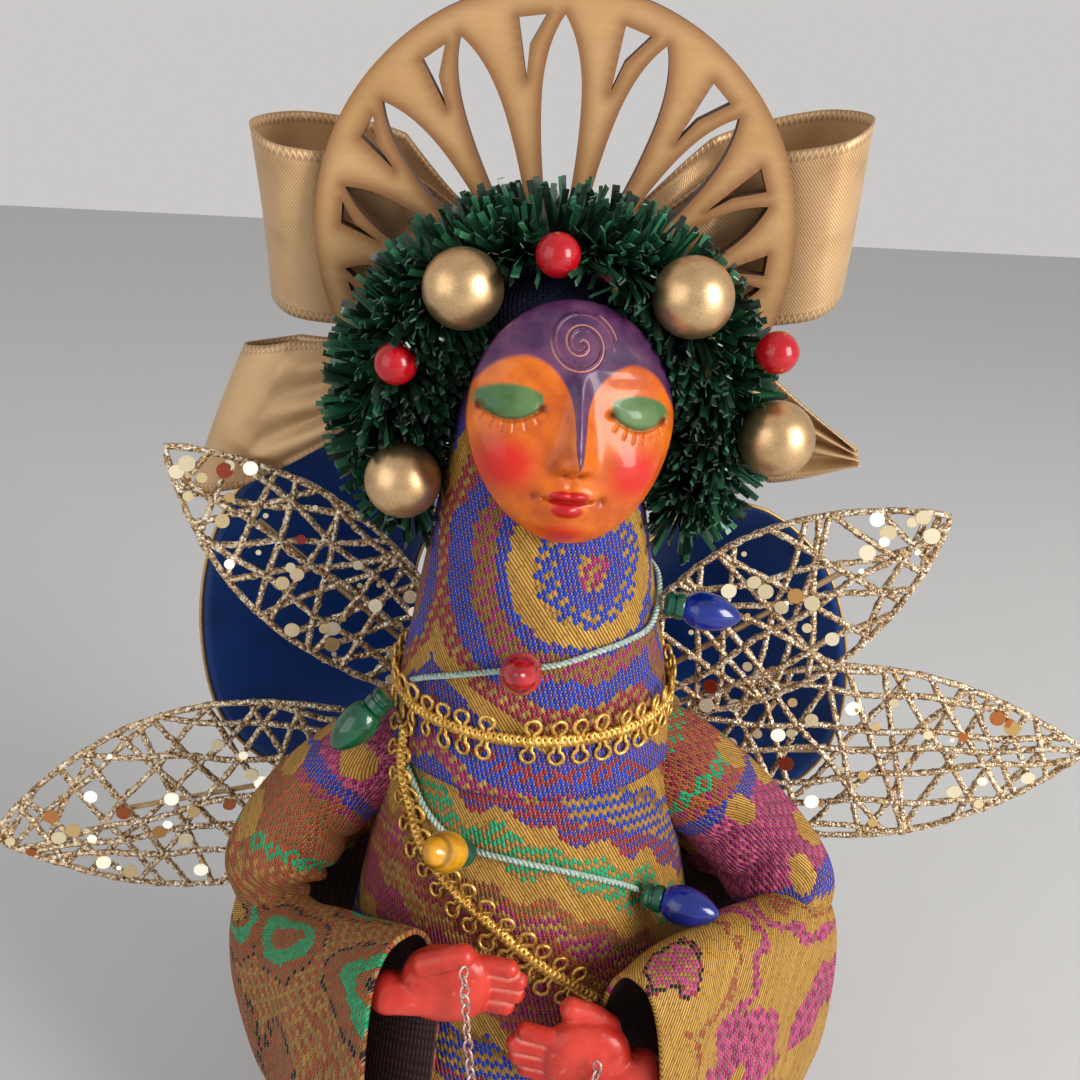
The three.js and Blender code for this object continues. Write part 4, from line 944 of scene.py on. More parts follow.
def clayFinish():
    paint = Paint("red_clay")
    here = paint.places()
    patch = paint.noise(here, 0.009, 3.0)
    rub = paint.noise(here, 0.0022, 4.0)
    body = paint.mix(patch.between(0.3, 0.7), (0.46, 0.02, 0.012), (0.62, 0.05, 0.03))
    pressed = paint.mask("groove") * rub.between(0.25, 0.5) * 0.8
    bare = (rub.between(0.6, 0.8) * 0.6).math("MAXIMUM", pressed)
    return paint.shade({
        "Base Color": paint.mix(bare, body, (0.72, 0.22, 0.17)),
        "Roughness": 0.26 + 0.25 * rub,
        "Normal": paint.bump(patch * 0.6 + rub * 0.4, 0.3, 0.35),
        "Specular IOR Level": 0.3,
        "Coat Weight": 0.22,
        "Coat Roughness": 0.18,
    })


def newBall(name, segments, rings, radius, middle=(0, 0, 0)):
    clearPick()
    bpy.ops.mesh.primitive_uv_sphere_add(segments=segments, ring_count=rings, radius=radius * mm,
                                         location=np.array(middle) * mm)
    bpy.ops.object.transform_apply(location=True, rotation=True, scale=True)
    return named(name)


def fingerLines():
    lines = []
    for i, (tip, lift) in enumerate(hands["tips"]):
        root = hands["palmMiddle"][2] + (1.5 - i) * hands["pitch"]
        joints = [(12.0, 0, root), (18, 0.2, 0.5 * (root + lift)), (tip - 2.0, -0.9, lift)]
        lines.append(spline(joints, 12))
    return lines


def makeHand(side, material):
    fingers = fingerLines()
    bones = [(spline(hands["wrist"], 12), hands["wristRadius"]),
             (spline(hands["thumb"], 12), hands["thumbRadius"])]
    bones += [(line, hands["finger"]) for line in fingers]
    solids = []
    for path, radius in bones:
        solids.append(tube("bone", path, radius, 12))
        solids += [newBall("tip", 16, 10, radius * 1.02, end) for end in (path[0], path[-1])]
    palm = newBall("palm", 24, 14, 1.0)
    ball = pointsOf(palm)
    setPoints(palm, np.sign(ball) * np.abs(ball) ** 0.8 * hands["palm"] + hands["palmMiddle"])
    piece = gather(side + "_clay_hand", solids + [palm])
    modify(piece, "REMESH", mode="VOXEL", voxel_size=hands["grain"] * mm)
    modify(piece, "SMOOTH", factor=0.5, iterations=3)
    points = pointsOf(piece)
    reach = [np.min(np.linalg.norm(points[:, None] - line[None], axis=2), axis=1) for line in fingers]
    nextFinger = np.sort(reach, axis=0)[1]
    groove = smooth(hands["finger"] + 0.9, hands["finger"] + 0.3, nextFinger)
    setMask(piece, "groove", groove * smooth(12.5, 15.0, points[:, 0]))
    if side == "right":
        points = points * [-1, -1, 1]
    setPoints(piece, points + hands[side])
    dress(smoothed(piece), material, "hand_clay", "doll", [side + "_hand"])


handPaint = clayFinish()
makeHand("left", handPaint)
makeHand("right", handPaint)
print("hands made")

# face: a domed clay egg with pressed features, painted over
face = {
    "azimuth": 13.5, "height": 227.2, "offset": 3.3, "half": (21.0, 24.0),
    "middle": (-1.0, 0.0), "roll": 5.5, "dome": 10.5, "back": 1.0, "lid": (12.9, 3.4),
    "cheek": (13.0, -8.6), "lips": -14.9, "chin": -20.6, "lashes": (-4.4, -2.6, -0.8, 1.0, 2.8, 4.4),
    "spiral": {"place": (-0.2, 15.4), "pitch": 3.0, "start": 0.9, "reach": 5.9, "tail": 2.2, "height": 0.6},
    "brow": [(0.0, -8.6), (0.7, -6.0), (1.15, -1.0), (1.5, 2.6), (2.2, 5.4), (3.8, 8.2), (6.6, 10.9),
             (10.5, 12.3), (15.0, 11.2), (18.0, 8.8), (21.0, 5.0)],
}
facePlace = onBody(np.array(face["azimuth"]), face["height"], face["offset"])
faceOutward = outward(face["azimuth"], math.degrees(cone["lean"]))
faceRight = unit(np.cross([0, 0, 1.0], faceOutward))
faceAbove = np.cross(faceOutward, faceRight)


def hill(fx, fy, x, y, sx, sy):
    return np.exp(-((fx - x) / sx) ** 2 - ((fy - y) / sy) ** 2)


def ridgeAt(distance, width):
    return np.exp(-(distance / width) ** 2)


def eyeFeatures(twin, fy):
    # closed lids with a lash line, the paint on them, and painted shade in the lash groove and dimples
    lidX, lidY = face["lid"]
    eye = twin - lidX
    lash = lidY - 3.4 + 0.07 * eye ** 2
    inEye = smooth(6.6, 5.6, np.abs(eye))
    groove = ridgeAt(fy - lash, 0.5) * inEye
    hairs = 0 * twin
    under = smooth(0.2, -0.3, fy - lash) * smooth(-3.0, -2.4, fy - lash)
    for k in face["lashes"]:
        hairs = np.maximum(hairs, ridgeAt(eye - k - 0.1 * k * (lash - fy), 0.26) * under)
    dimples = hill(twin, fy, lidX - 6.2, 2.6, 0.9, 0.8) + hill(twin, fy, lidX + 5.7, 2.2, 0.9, 0.8)
    rise = -1.5 * hill(twin, fy, lidX - 0.5, 4.4, 7.5, 4.8) + 2.0 * hill(twin, fy, lidX, lidY, 5.4, 3.2)
    rise = rise - 0.7 * groove - 0.32 * hairs - 0.9 * dimples + 0.7 * hill(twin, fy, 10.5, 10.3, 7, 2.2)
    lidTop = lidY + 3.3 - 0.04 * eye ** 2
    above = smooth(lidTop + 0.9, lidTop - 0.9, fy)
    lid = smooth(lash - 0.3, lash + 0.2, fy) * above * inEye
    outer = smooth(lidY - 1.6, lidY - 0.4, fy) * above * smooth(8.6, 6.5, eye)
    lid = np.maximum(lid, 0.5 * outer * smooth(3.0, 5.0, eye))
    return rise, lid, 0.5 * groove + 0.9 * dimples


def noseFeatures(fx, twin, fy):
    ridge = (0.9 + 2.9 * smooth(9, -6.4, fy)) * ridgeAt(fx, 1.9 + 0.9 * smooth(4, -6, fy))
    ridge = ridge * smooth(13, 7, fy) * smooth(-10.4, -8.2, fy)
    sides = 1.3 * hill(twin, fy, 3.0, -7.7, 1.4, 1.5)
    holes = hill(twin, fy, 1.5, -9.6, 0.8, 0.6)
    return ridge + sides + 0.9 * hill(fx, fy, 0, -7.0, 2.4, 2.0) - 0.8 * holes, holes


def mouthFeatures(fx, twin, fy):
    line = face["lips"]
    parting = ridgeAt(fy - line - 0.015 * fx ** 2, 0.38) * smooth(6.0, 4.4, twin)
    corners = hill(twin, fy, 6.8, line + 0.5, 1.0, 0.9)
    upperLip = hill(twin, fy, 1.5, line + 1.2, 2.6, 1.0)
    lowerLip = hill(fx, fy, 0, line - 1.8, 3.3, 1.35)
    rise = 1.0 * hill(fx, fy, 0, line, 7.0, 5.0) - 0.35 * hill(fx, fy, 0, -11.6, 0.9, 1.2)
    rise = rise + 1.1 * upperLip + 1.3 * lowerLip - 0.9 * parting - 0.7 * corners
    between = hill(fx, fy, 0, line - 0.1, 3.9, 0.9)
    lips = np.clip(1.8 * np.maximum(np.maximum(upperLip, lowerLip), between) - 0.3, 0, 1)
    return rise, lips, 0.6 * parting + 0.9 * corners


def spiralFeatures(fx, fy):
    curl = face["spiral"]
    sx, sy = fx - curl["place"][0], fy - curl["place"][1]
    distance, angle = np.hypot(sx, sy), np.arctan2(sy, sx)
    turn = (distance - curl["start"]) / curl["pitch"] + angle / (2 * math.pi)
    off = (turn - np.round(turn)) * curl["pitch"]
    reach = curl["reach"] + curl["tail"] * ridgeAt(angle - 0.55, 0.5)
    inCurl = smooth(reach + 0.4, reach - 0.2, distance)
    # light copper lines at both sides of the coil's ridge, stronger on one side: copper paint and a painted
    # highlight
    edge = (ridgeAt(off - 0.5, 0.2) + 0.6 * ridgeAt(off + 0.5, 0.16)) * inCurl
    return curl["height"] * ridgeAt(off, 0.42) * inCurl - 0.25 * edge, edge


def faceFeatures(fx, fy):
    cheekX, cheekY = face["cheek"]
    twin = np.abs(fx)
    eyes, lid, eyeShade = eyeFeatures(twin, fy)
    nose, holes = noseFeatures(fx, twin, fy)
    mouth, lips, mouthShade = mouthFeatures(fx, twin, fy)
    spiral, edge = spiralFeatures(fx, fy)
    chin = 1.5 * hill(fx, fy, 0, face["chin"], 4.4, 3.0)
    rise = eyes + nose + mouth + chin + 1.3 * hill(twin, fy, cheekX, cheekY, 6.0, 5.6) + spiral
    browX, browY = spline(face["brow"], 90).T
    brow = np.interp(np.abs(fx - 0.3), browX, browY)
    rim = ridgeAt(fy - brow, 0.6) * smooth(4.0, 7.0, twin)
    chinBlush = 0.8 * hill(fx, fy, 0, face["chin"] - 1, 6.5, 2.6)
    return rise, {
        "purple": smooth(brow - 1.3, brow + 1.3, fy),
        "lid": lid,
        "blush": np.clip(1.1 * hill(twin, fy, cheekX, cheekY, 6.4, 5.8) + chinBlush, 0, 1),
        "lips": lips,
        "pits": np.clip(eyeShade + holes + mouthShade, 0, 1),
        # copper paint along the brow edge, and on the spiral copper paint with a painted highlight along its
        # ridges
        "copper": np.clip(edge + 0.35 * rim, 0, 1),
    }


def faceFinish():
    paint = Paint("painted_clay")
    here = paint.places()
    patch = paint.noise(here, 0.006, 4.0)
    fine = paint.noise(here, 0.0013, 3.0)
    frayed = (patch - 0.5) * 0.9
    lidPaint = paint.mix(patch.between(0.3, 0.7), (0.03, 0.11, 0.025), (0.1, 0.18, 0.06))
    purplePaint = paint.mix(patch.between(0.35, 0.7), (0.045, 0.012, 0.06), (0.12, 0.035, 0.1))
    colour = paint.mix(patch.between(0.3, 0.72), (0.46, 0.072, 0.001), (0.67, 0.148, 0.003))
    coats = [("blush", 0.25, 0.12, 1.0, 1.0, (0.56, 0.012, 0.002)),
             ("lips", 0.2, 0.2, 0.6, 1.0, (0.44, 0.003, 0.004)),
             ("lid", 0.2, 0.1, 0.85, 1.0, lidPaint),
             ("purple", 0.3, 0.15, 0.85, 1.0, purplePaint),
             ("copper", 0.4, 0.3, 0.8, 0.8, (0.62, 0.26, 0.17))]
    for name, fray, low, high, most, coat in coats:
        colour = paint.mix((paint.mask(name) + frayed * fray).between(low, high) * most, colour, coat)
    # painted shade: the lash groove, eye dimples, nostrils, lip parting and mouth corners are darkened
    colour = paint.mix(paint.mask("pits") * 0.8, colour, (0.16, 0.02, 0.004))
    return paint.shade({
        "Base Color": colour,
        "Roughness": 0.34 + 0.2 * fine,
        "Normal": paint.bump(patch * 0.5 + fine * 0.5, 0.22, 0.3),
        "Specular IOR Level": 0.3,
        "Coat Weight": 0.34,
        "Coat Roughness": 0.12,
    })


def makeFace():
    piece, u, v = newGrid("clay_face", 190, 220)
    across, up = u * np.sqrt(1 - v * v / 2), v * np.sqrt(1 - u * u / 2)  # the square grid becomes a disc
    x = face["half"][0] * across * (1 - 0.1 * np.maximum(0, -up))
    y = face["half"][1] * up
    roll = math.radians(face["roll"])
    dx, dy = x - face["middle"][0], y - face["middle"][1]
    rise, masks = faceFeatures(dx * math.cos(roll) - dy * math.sin(roll),
                               dx * math.sin(roll) + dy * math.cos(roll))
    edge = across ** 2 + up ** 2
    dome = face["dome"] * np.sqrt(np.maximum(0, 1 - 0.94 * edge)) + face["back"]
    height = dome + rise * smooth(1.0, 0.8, edge)
    for name, values in masks.items():
        setMask(piece, name, values)
    stand = np.stack([faceRight, faceAbove, faceOutward])
    setPoints(piece, np.stack([x, y, height], -1) @ stand + facePlace)
    pick(piece)
    bpy.ops.object.mode_set(mode="EDIT")
    bpy.ops.mesh.select_all(action="DESELECT")
    bpy.ops.mesh.select_mode(type="EDGE")
    bpy.ops.mesh.select_non_manifold(extend=False)
    for drop, share in ((2.3, 1.0), (1.25, 0.92)):
        bpy.ops.mesh.extrude_edges_move(TRANSFORM_OT_translate={"value": tuple(-faceOutward * drop * mm)})
        bpy.ops.transform.resize(value=(share, share, share), center_override=Vector(facePlace) * mm)
    bpy.ops.mesh.edge_face_add()
    bpy.ops.mesh.select_mode(type="VERT")
    bpy.ops.object.mode_set(mode="OBJECT")
    soften(faceOut(piece), 60)
    dress(piece, faceFinish(), "face_clay", "doll", ["face"])


makeFace()
print("face modelled")

# the plane of the garland and the halo leans with the back of the cone
leanUp = np.array([0, -math.sin(cone["lean"]), math.cos(cone["lean"])])
leanOut = np.array([0, -math.cos(cone["lean"]), -math.sin(cone["lean"])])
sideways = np.array([1.0, 0, 0])
haloCentre = (0, 13.03, 258.0)
garland = {
    "centre": (1.0, 4.67, 223.2), "radius": 37.0, "span": 125.0, "strip": 14.5, "inner": 21.0, "least": 4.0,
    "width": 1.4, "core": 1.8, "strips": 980, "neckGap": 0.4, "haloGap": 0.2, "faceGap": 0.6, "beadGap": 0.3,
    "arcs": ["garland_lower_left", "garland_upper_left", "garland_upper_right", "garland_lower_right"],
}
ornaments = {
    "gold_ball_upper_left": ((-17.5, -14.5, 252.0), 8.1),
    "gold_ball_upper_right": ((27.7, -14.5, 252.5), 8.1),
    "gold_ball_lower_left": ((-29.6, -10.5, 211.0), 8.1),
    "gold_ball_lower_right": ((48.7, -7.0, 223.0), 8.1),
    "berry_top": ((0.8, -16.0, 259.5), 4.4),
    "berry_left": ((-30.7, -14.0, 236.5), 4.4),
    "berry_right": ((46.5, -9.0, 241.5), 4.4),
}


def archWay(angle):
    return math.sin(angle) * sideways + math.cos(angle) * leanUp


def archPoint(angle):
    return np.array(garland["centre"]) + garland["radius"] * archWay(angle)


def stripRoom(foot, way, most):
    # how far a strip can reach before it meets the neck, the halo, the face or an ornament
    reach = np.linspace(2, most, 18)
    points = foot + reach[:, None] * way
    neck = coneRadius(np.minimum(points[:, 2], wrap["shoulder"])) + cone["wrap"] + garland["neckGap"]
    blocked = (np.hypot(points[:, 0], points[:, 1]) < neck) & (points[:, 2] < wrap["crown"])
    blocked |= (points - haloCentre) @ leanOut < garland["haloGap"]
    local = points - facePlace
    across, up = (half + garland["faceGap"] for half in face["half"])
    onFace = ((local @ faceRight) / across) ** 2 + ((local @ faceAbove) / up) ** 2 < 1
    blocked |= (local @ faceOutward > -1) & onFace
    for centre, radius in ornaments.values():
        blocked |= np.linalg.norm(points - centre, axis=1) < radius + garland["beadGap"]
    return float(reach[np.argmax(blocked)]) if blocked.any() else most


def tinselFinish():
    paint = Paint("green_tinsel")
    tint = paint.mask("tint")
    glintFleck = paint.noise(paint.places(), 0.0016, 2.0)
    colour = paint.ramp(tint, [(0.0, (0.005, 0.009, 0.007)), (0.3, (0.01, 0.035, 0.019)),
                               (0.6, (0.022, 0.12, 0.055)), (1.0, (0.06, 0.26, 0.12))])
    return paint.shade({
        # painted glints: rare pale flecks on the strips
        "Base Color": paint.mix(glintFleck.between(0.72, 0.78) * 0.5, colour, (0.3, 0.42, 0.34)),
        "Roughness": 0.2 + 0.25 * tint,
        "Normal": paint.bump(glintFleck, 0.15, 0.2),
        "Coat Weight": 0.25,
    })


def makeGarland(name, first, last, material):
    strip, x, y = newGrid("tinsel_strip", 4, 1)
    along = (x + 1) / 2
    setPoints(strip, np.stack([along, y * 0.5, 0.10 * along ** 2], -1))
    modify(strip, "SOLIDIFY", thickness=0.06 * mm)
    places, tints = [], []
    while len(places) < garland["strips"]:
        angle = chance.uniform(first, last)
        turn = chance.uniform(0, 2 * math.pi) if chance.random() < 0.62 else chance.normal(2.1, 0.5)
        tangent = math.cos(angle) * sideways - math.sin(angle) * leanUp
        radial = archWay(angle)
        way = unit(radial * math.cos(turn) + leanOut * math.sin(turn) + tangent * chance.normal(0, 0.28))
        inward = way @ radial < 0.1 and way @ leanOut > -0.3
        room = stripRoom(archPoint(angle), way, garland["inner"] if inward else garland["strip"])
        room = room * chance.uniform(0.86, 1.0)
        if room < garland["least"]:
            continue
        twist = chance.normal(0, 0.6)
        flatSide = unit(np.cross(way, leanOut + 0.02 * tangent))
        y = flatSide * math.cos(twist) + np.cross(way, flatSide) * math.sin(twist)
        matrix = placed(archPoint(angle) + way * 0.5, way, y, np.cross(way, y))
        matrix[:3, 0] *= room - 0.5
        matrix[:3, 1] *= garland["width"] * chance.uniform(0.7, 1.15)
        matrix[:3, 2] *= room * chance.uniform(-0.45, 0.45)
        places.append(matrix)
        # painted shade: strips turned in towards the face and neck get darker tints
        tints.append(chance.beta(1.5, 2.4) * (0.75 if inward else 1.0))
    pieces = [strew(name + "_strips", strip, places, tints)]
    pieces[0].data.shade_flat()
    stops = np.linspace(first, last, 90)
    core = np.array([archPoint(a) for a in stops])
    for phase in (0, math.pi):
        spin = 40 * stops + phase
        radial = (core - garland["centre"]) / garland["radius"]
        line = core + 0.8 * (radial * np.cos(spin)[:, None] + leanOut * np.sin(spin)[:, None])
        pieces.append(tube(name + "_core", line, 0.75, 6))
    dress(gather(name + "_tinsel", pieces), material, "tinsel", "doll", [name])


tinselPaint = tinselFinish()
arcSpan = 2 * garland["span"] / len(garland["arcs"])
for k, arcName in enumerate(garland["arcs"]):
    arcStart = -garland["span"] + k * arcSpan
    makeGarland(arcName, math.radians(arcStart), math.radians(arcStart + arcSpan), tinselPaint)


def makeOrnament(name, centre, radius, material, slot):
    arc = np.linspace(-math.pi / 2, math.pi / 2, 33)
    outline = [(radius * math.cos(a), radius * math.sin(a)) for a in arc]
    fromMiddle = centre - np.array(garland["centre"])
    wireSpot = archPoint(math.atan2(fromMiddle[0], fromMiddle @ leanUp))
    ball = turned(name + "_bead", outline, 48, centre, wireSpot - centre)
    dress(smoothed(ball), material, slot, "doll", [name])
    reach = unit(wireSpot - centre)
    ends = np.array([centre + reach * (radius - 0.5), wireSpot - reach * garland["core"]])
    dress(tube(name + "_stem", ends, 0.6), stemPaint, "wire")


lacquer = {"Specular IOR Level": 0.3, "Coat Weight": 0.45, "Coat Roughness": 0.05}
ballPaint = grainFinish("matte_gold", 0.0003, 3.0, ((0.52, 0.32, 0.15), (0.78, 0.54, 0.3)), (0.28, 0.14),
                        (0.16, 0.05), (0.3, 0.8), {"Metallic": 0.95}, (0.005, 3.0, 0.5))
berryPaint = grainFinish("red_lacquer", 0.003, 3.0, ((0.34, 0.002, 0.006), (0.52, 0.004, 0.012)), (0.2, 0.12),
                         (0.12, 0.2), more=lacquer)
stemPaint = wireFinish("stem_wire", (0.2, 0.16, 0.1), (0.5, 0.42, 0.28))
for beadName, (beadCentre, beadRadius) in ornaments.items():
    isBall = beadName.startswith("gold")
    makeOrnament(beadName, np.array(beadCentre), beadRadius, ballPaint if isBall else berryPaint,
                 "gold_ball" if isBall else "berry")
print("garland, balls and berries made")

# halo: cut plywood, toasted beside every cut
halo = {"radius": 52.0, "thick": 3.0, "rim": 5.7, "hub": 18.7, "step": 18.9, "foot": 14.0, "half": 4.1,
        "grid": 150, "toastReach": 2.6}


def petalReach(angle):
    fall = halo["hub"] * math.cos(angle)
    return fall + math.sqrt(fall * fall + (halo["radius"] - halo["rim"]) ** 2 - halo["hub"] ** 2)


def hubPoint(angle, distance, side=0.0):
    return np.array([distance * math.sin(angle) + side * math.cos(angle),
                     distance * math.cos(angle) - side * math.sin(angle) - halo["hub"]])


def petalOutline(angle):
    # four bends from the tip down one side to the foot and up the other
    reach, half = petalReach(angle), halo["half"]
    tip, foot = hubPoint(angle, reach), hubPoint(angle, halo["foot"])
    wide = [hubPoint(angle, reach - 17, side) for side in (half, -half)]
    turns = [(tip, (reach - 6, half), wide[0]), (wide[0], (reach - 32, half), foot),
             (foot, (reach - 32, -half), wide[1]), (wide[1], (reach - 6, -half), tip)]
    t = np.linspace(0, 1, 12, endpoint=False)[:, None]
    return np.vstack([(1 - t) ** 2 * start + 2 * t * (1 - t) * hubPoint(angle, *bend) + t * t * end
                      for start, bend, end in turns])


def chipOutline(angle):
    # the small cut at the rim beside a petal
    reach = petalReach(angle)
    turns = [angle - math.radians(turn) for turn in (8.2, 3.2, 6.6, 7.9)]
    reaches = [petalReach(turns[0]), petalReach(turns[1]), reach - 5.5, reach - 11.6]
    return np.array([hubPoint(turn, far) for turn, far in zip(turns, reaches)])


def cutOutlines():
    angles = [math.radians(k * halo["step"]) for k in range(-4, 5)]
    return [cut(angle) for angle in angles for cut in (petalOutline, chipOutline)]


def plywoodFinish():
    paint = Paint("toasted_plywood")
    here = paint.places()
    x = paint.split(here)
    stretched = paint.joined(x * 0.12, x.also(1), x.also(2))
    grain = paint.noise(stretched, 0.0016, 5.0, 0.65)
    cloud = paint.noise(here, 0.014, 3.0)
    ring = paint.noise(stretched, 0.006, 2.0)
    tone = (grain * 0.3 + cloud * 0.5 + ring * 0.2).between(0.3, 0.75)
    wood = paint.mix(tone, (0.43, 0.235, 0.085), (0.57, 0.345, 0.15))
    toast = (paint.mask("toast") + (cloud - 0.5) * 0.3).between(0.12, 0.95)
    colour = paint.mix(toast * 0.85, wood, (0.2, 0.072, 0.018))
    char = paint.mix(grain, (0.035, 0.016, 0.009), (0.14, 0.06, 0.028))
    colour = paint.mix(paint.mask("burnt"), colour, char)
    return paint.shade({
        "Base Color": colour,
        "Roughness": 0.6 + 0.2 * grain,
        "Normal": paint.bump(grain, 0.25, 0.12),
    })


def cutBy(plate, cutter, operation):
    modify(plate, "BOOLEAN", operation=operation, object=cutter, solver="EXACT")
    bpy.data.objects.remove(cutter)


def petalCutter(outline):
    mesh = bpy.data.meshes.new("petal")
    mesh.from_pydata([(*(p * mm), -8 * mm) for p in outline], [], [list(range(len(outline)))])
    lift = {"TRANSFORM_OT_translate": {"value": (0, 0, 16 * mm)}}
    return faceOut(inEdit(added("petal", mesh), (bpy.ops.mesh.extrude_region_move, lift)))


def makeHalo():
    clearPick()
    bpy.ops.mesh.primitive_grid_add(x_subdivisions=halo["grid"], y_subdivisions=halo["grid"],
                                    size=2.1 * halo["radius"] * mm)
    plate = named("plywood_halo")
    modify(plate, "SOLIDIFY", thickness=halo["thick"] * mm, offset=-1.0)
    clearPick()
    bpy.ops.mesh.primitive_cylinder_add(vertices=180, radius=halo["radius"] * mm, depth=20 * mm)
    cutBy(plate, named("halo_round"), "INTERSECT")
    outlines = cutOutlines()
    cutBy(plate, gather("petals", [petalCutter(outline) for outline in outlines]), "DIFFERENCE")
    flat = pointsOf(plate)
    shares = np.linspace(0, 1, 6, endpoint=False)[:, None]
    marks = np.vstack([a + (b - a) * shares for outline in outlines
                       for a, b in zip(outline, np.roll(outline, -1, 0))])
    near = np.concatenate([np.sqrt(((block[:, None, :2] - marks[None]) ** 2).sum(2)).min(1)
                           for block in np.array_split(flat, 40)])
    near = np.minimum(near, halo["radius"] - np.hypot(flat[:, 0], flat[:, 1]) + 0.6)
    setMask(plate, "toast", np.exp(-near / halo["toastReach"]))
    walls = [abs(p.normal.z) < 0.5 for p in plate.data.polygons]
    setMask(plate, "burnt", walls, "FACE")
    setPoints(plate, flat @ np.stack([sideways, leanUp, leanOut]) + haloCentre)
    dress(soften(plate), plywoodFinish(), "plywood", "doll", ["halo_disc"])


makeHalo()
print("halo cut")

# ribbon bows: satin gathered into a pleated knot
bows = {
    "thick": 0.4, "pleats": 3.3, "crumple": 1.8,
    "gold": {"place": (0, 25.57, 250.0), "full": 40.0, "start": 7.55, "knot": (15.0, 15.0, 24.0),
             "lean": 18.0, "upper": {"left": (-67.0, 11.0, 24.0), "right": (67.0, 18.0, 24.0)},
             "lower": [(-8.15, 5, -13), (-34, 6, -24), (-56, 2, -33), (-74, 3, -38), (-80, 8, -39),
                       (-72, 14, -38), (-52, 14, -33), (-30, 12, -24), (-8.15, 8, -13)],
             "tail": [(7.55, 5, -10), (30, 10, -20), (56, 12, -34), (78, 9, -41)]},
    "blue": {"place": (0, 44.05, 150.0), "full": 38.0, "start": 7.98, "run": 14.0, "shift": 22.0,
             "drawn": 0.35, "knot": (16.0, 20.0, 22.0), "edge": 0.5,
             "left": [(-7.98, 3), (-30, 38), (-57, 53), (-81, 38), (-93, 0), (-86, -33), (-64, -47),
                      (-36, -30), (-20, -14), (-7.98, -3)],
             "right": [(7.98, 3), (30, 31), (54, 40), (77, 25), (87, -6), (82, -36), (62, -50), (36, -32),
                       (20, -15), (7.98, -3)]},
    # each satin look holds a painted shade tone (deep), a middle tone (base) and a painted sheen tone (light)
    "goldLook": {"deep": (0.25, 0.115, 0.042), "base": (0.45, 0.255, 0.105), "light": (0.7, 0.46, 0.24),
                 "metal": 0.4, "stitched": 1.0},
    "blueLook": {"deep": (0.002, 0.008, 0.045), "base": (0.002, 0.026, 0.15), "light": (0.004, 0.07, 0.34),
                 "metal": 0.0, "stitched": 0.0},
}


def satin(name, look, full):
    paint = Paint(name)
    uv, x, y = paint.cloth()
    twill = ((x + y * 0.7) / 0.62).fract().hump()
    cloud = paint.noise(uv, 14.0, 3.0)
    # painted sheen and shade: clouds and twill lines move the colour between the lit, middle and shaded tones
    colour = paint.mix((0.6 * twill + 0.5 * cloud).between(0.2, 0.95), look["base"], look["light"])
    colour = paint.mix((1 - cloud).between(0.5, 0.85) * 0.5, colour, look["deep"])
    selvedge = y.math("MINIMUM", full - y)
    wave = ((x / 1.3).fract() - 0.5).math("ABSOLUTE") * 3.6 + 0.3
    stitch = 1 - (selvedge - wave).math("ABSOLUTE").between(0.25, 0.6)
    hem = (selvedge < 2.4) * look["stitched"]
    colour = paint.mix(hem, colour, paint.mix(0.45 + 0.55 * stitch, look["deep"], look["light"]))
    return paint.shade({
        "Base Color": colour,
        "Metallic": look["metal"],
        "Roughness": 0.3 + 0.14 * twill,
        "Normal": paint.bump(twill * 0.6 * (1 - hem) + hem * stitch, 0.35, 0.16),
        "Sheen Weight": 0.2,
        "Sheen Roughness": 0.35,
    })


def ribbonSheet(name, line, closed, axis, widths, full, seed, drawn=None):
    axis = unit(np.asarray(axis, float))
    normal = unit(np.cross(directions(line, closed), axis))
    table = np.column_stack([line, normal, widths])
    if closed:
        table = np.vstack([table, table[:1]])
    total = lengthOf(table[:, :3])

    def place(u, v):
        x, y, z, nx, ny, nz, width = columnsAt(table, u)
        squeeze = 1 - width / full
        # the pleats take up what the cut width is more than the drawn one
        spare = np.sqrt(np.maximum(0, full ** 2 - width ** 2)) / (4 * bows["pleats"])
        pleat = 0.9 * spare * np.sin(2 * math.pi * bows["pleats"] * v + 0.5)
        pleat = pleat + bows["crumple"] * ripple(3.2 * u * total / full, 2.4 * v, seed) * (1 - squeeze)
        spread = width / 2 * (2 * v - 1)
        middle = np.stack([x, y, z], -1)
        if drawn:
            middle = middle + v[:, None] * (drawn(middle) - middle)
        return middle + spread[:, None] * axis + pleat[:, None] * np.stack([nx, ny, nz], -1)

    piece = clothSheet(name, 330 if closed else 150, 22, place,
                       lambda u, v: np.stack([total * u, full * v], -1), bows["thick"], closed)
    return piece, total, place


def makeKnot(name, size, origin, cloth, node):
    shares = [(-0.5, 0.0), (-0.5, 0.55), (-0.47, 0.72), (-0.4, 0.9), (-0.25, 1), (0, 1), (0.25, 1),
              (0.4, 0.9), (0.47, 0.72), (0.5, 0.55), (0.5, 0.0)]
    piece, across, along = newGrid(name, 110, 60)
    u, v = (across + 1) / 2, (along + 1) / 2
    share, scale = columnsAt(spline(shares, 60), v)
    angle = 2 * math.pi * u
    ridge = 1 - 0.07 * (1 + np.sin(11 * angle + 2.0 * np.sin(5 * share))) * (scale > 0.3)
    waist = 0.86 + 0.6 * share ** 2
    x = 0.5 * size[0] * scale * waist * ridge * np.cos(angle)
    y = 0.5 * size[1] * scale * ridge * np.sin(angle)
    setPoints(piece, turnedX(np.stack([x, y, size[2] * share], -1), math.degrees(cone["lean"])) + origin)
    setUv(piece, np.stack([60 * u, 30 * v], -1))
    dress(smoothed(faceOut(piece)), *cloth, "doll", [node])


def turnedX(points, degrees):
    c, s = math.cos(math.radians(degrees)), math.sin(math.radians(degrees))
    turn = np.array([[1, 0, 0], [0, c, -s], [0, s, c]])
    return np.asarray(points, float) @ turn.T


def sewBow(piece, total, full, cloth, node, share=1.0):
    dress(piece, *cloth, "doll", [node])
    area = share * full * total * 1e-6
    full * mm
    total * mm


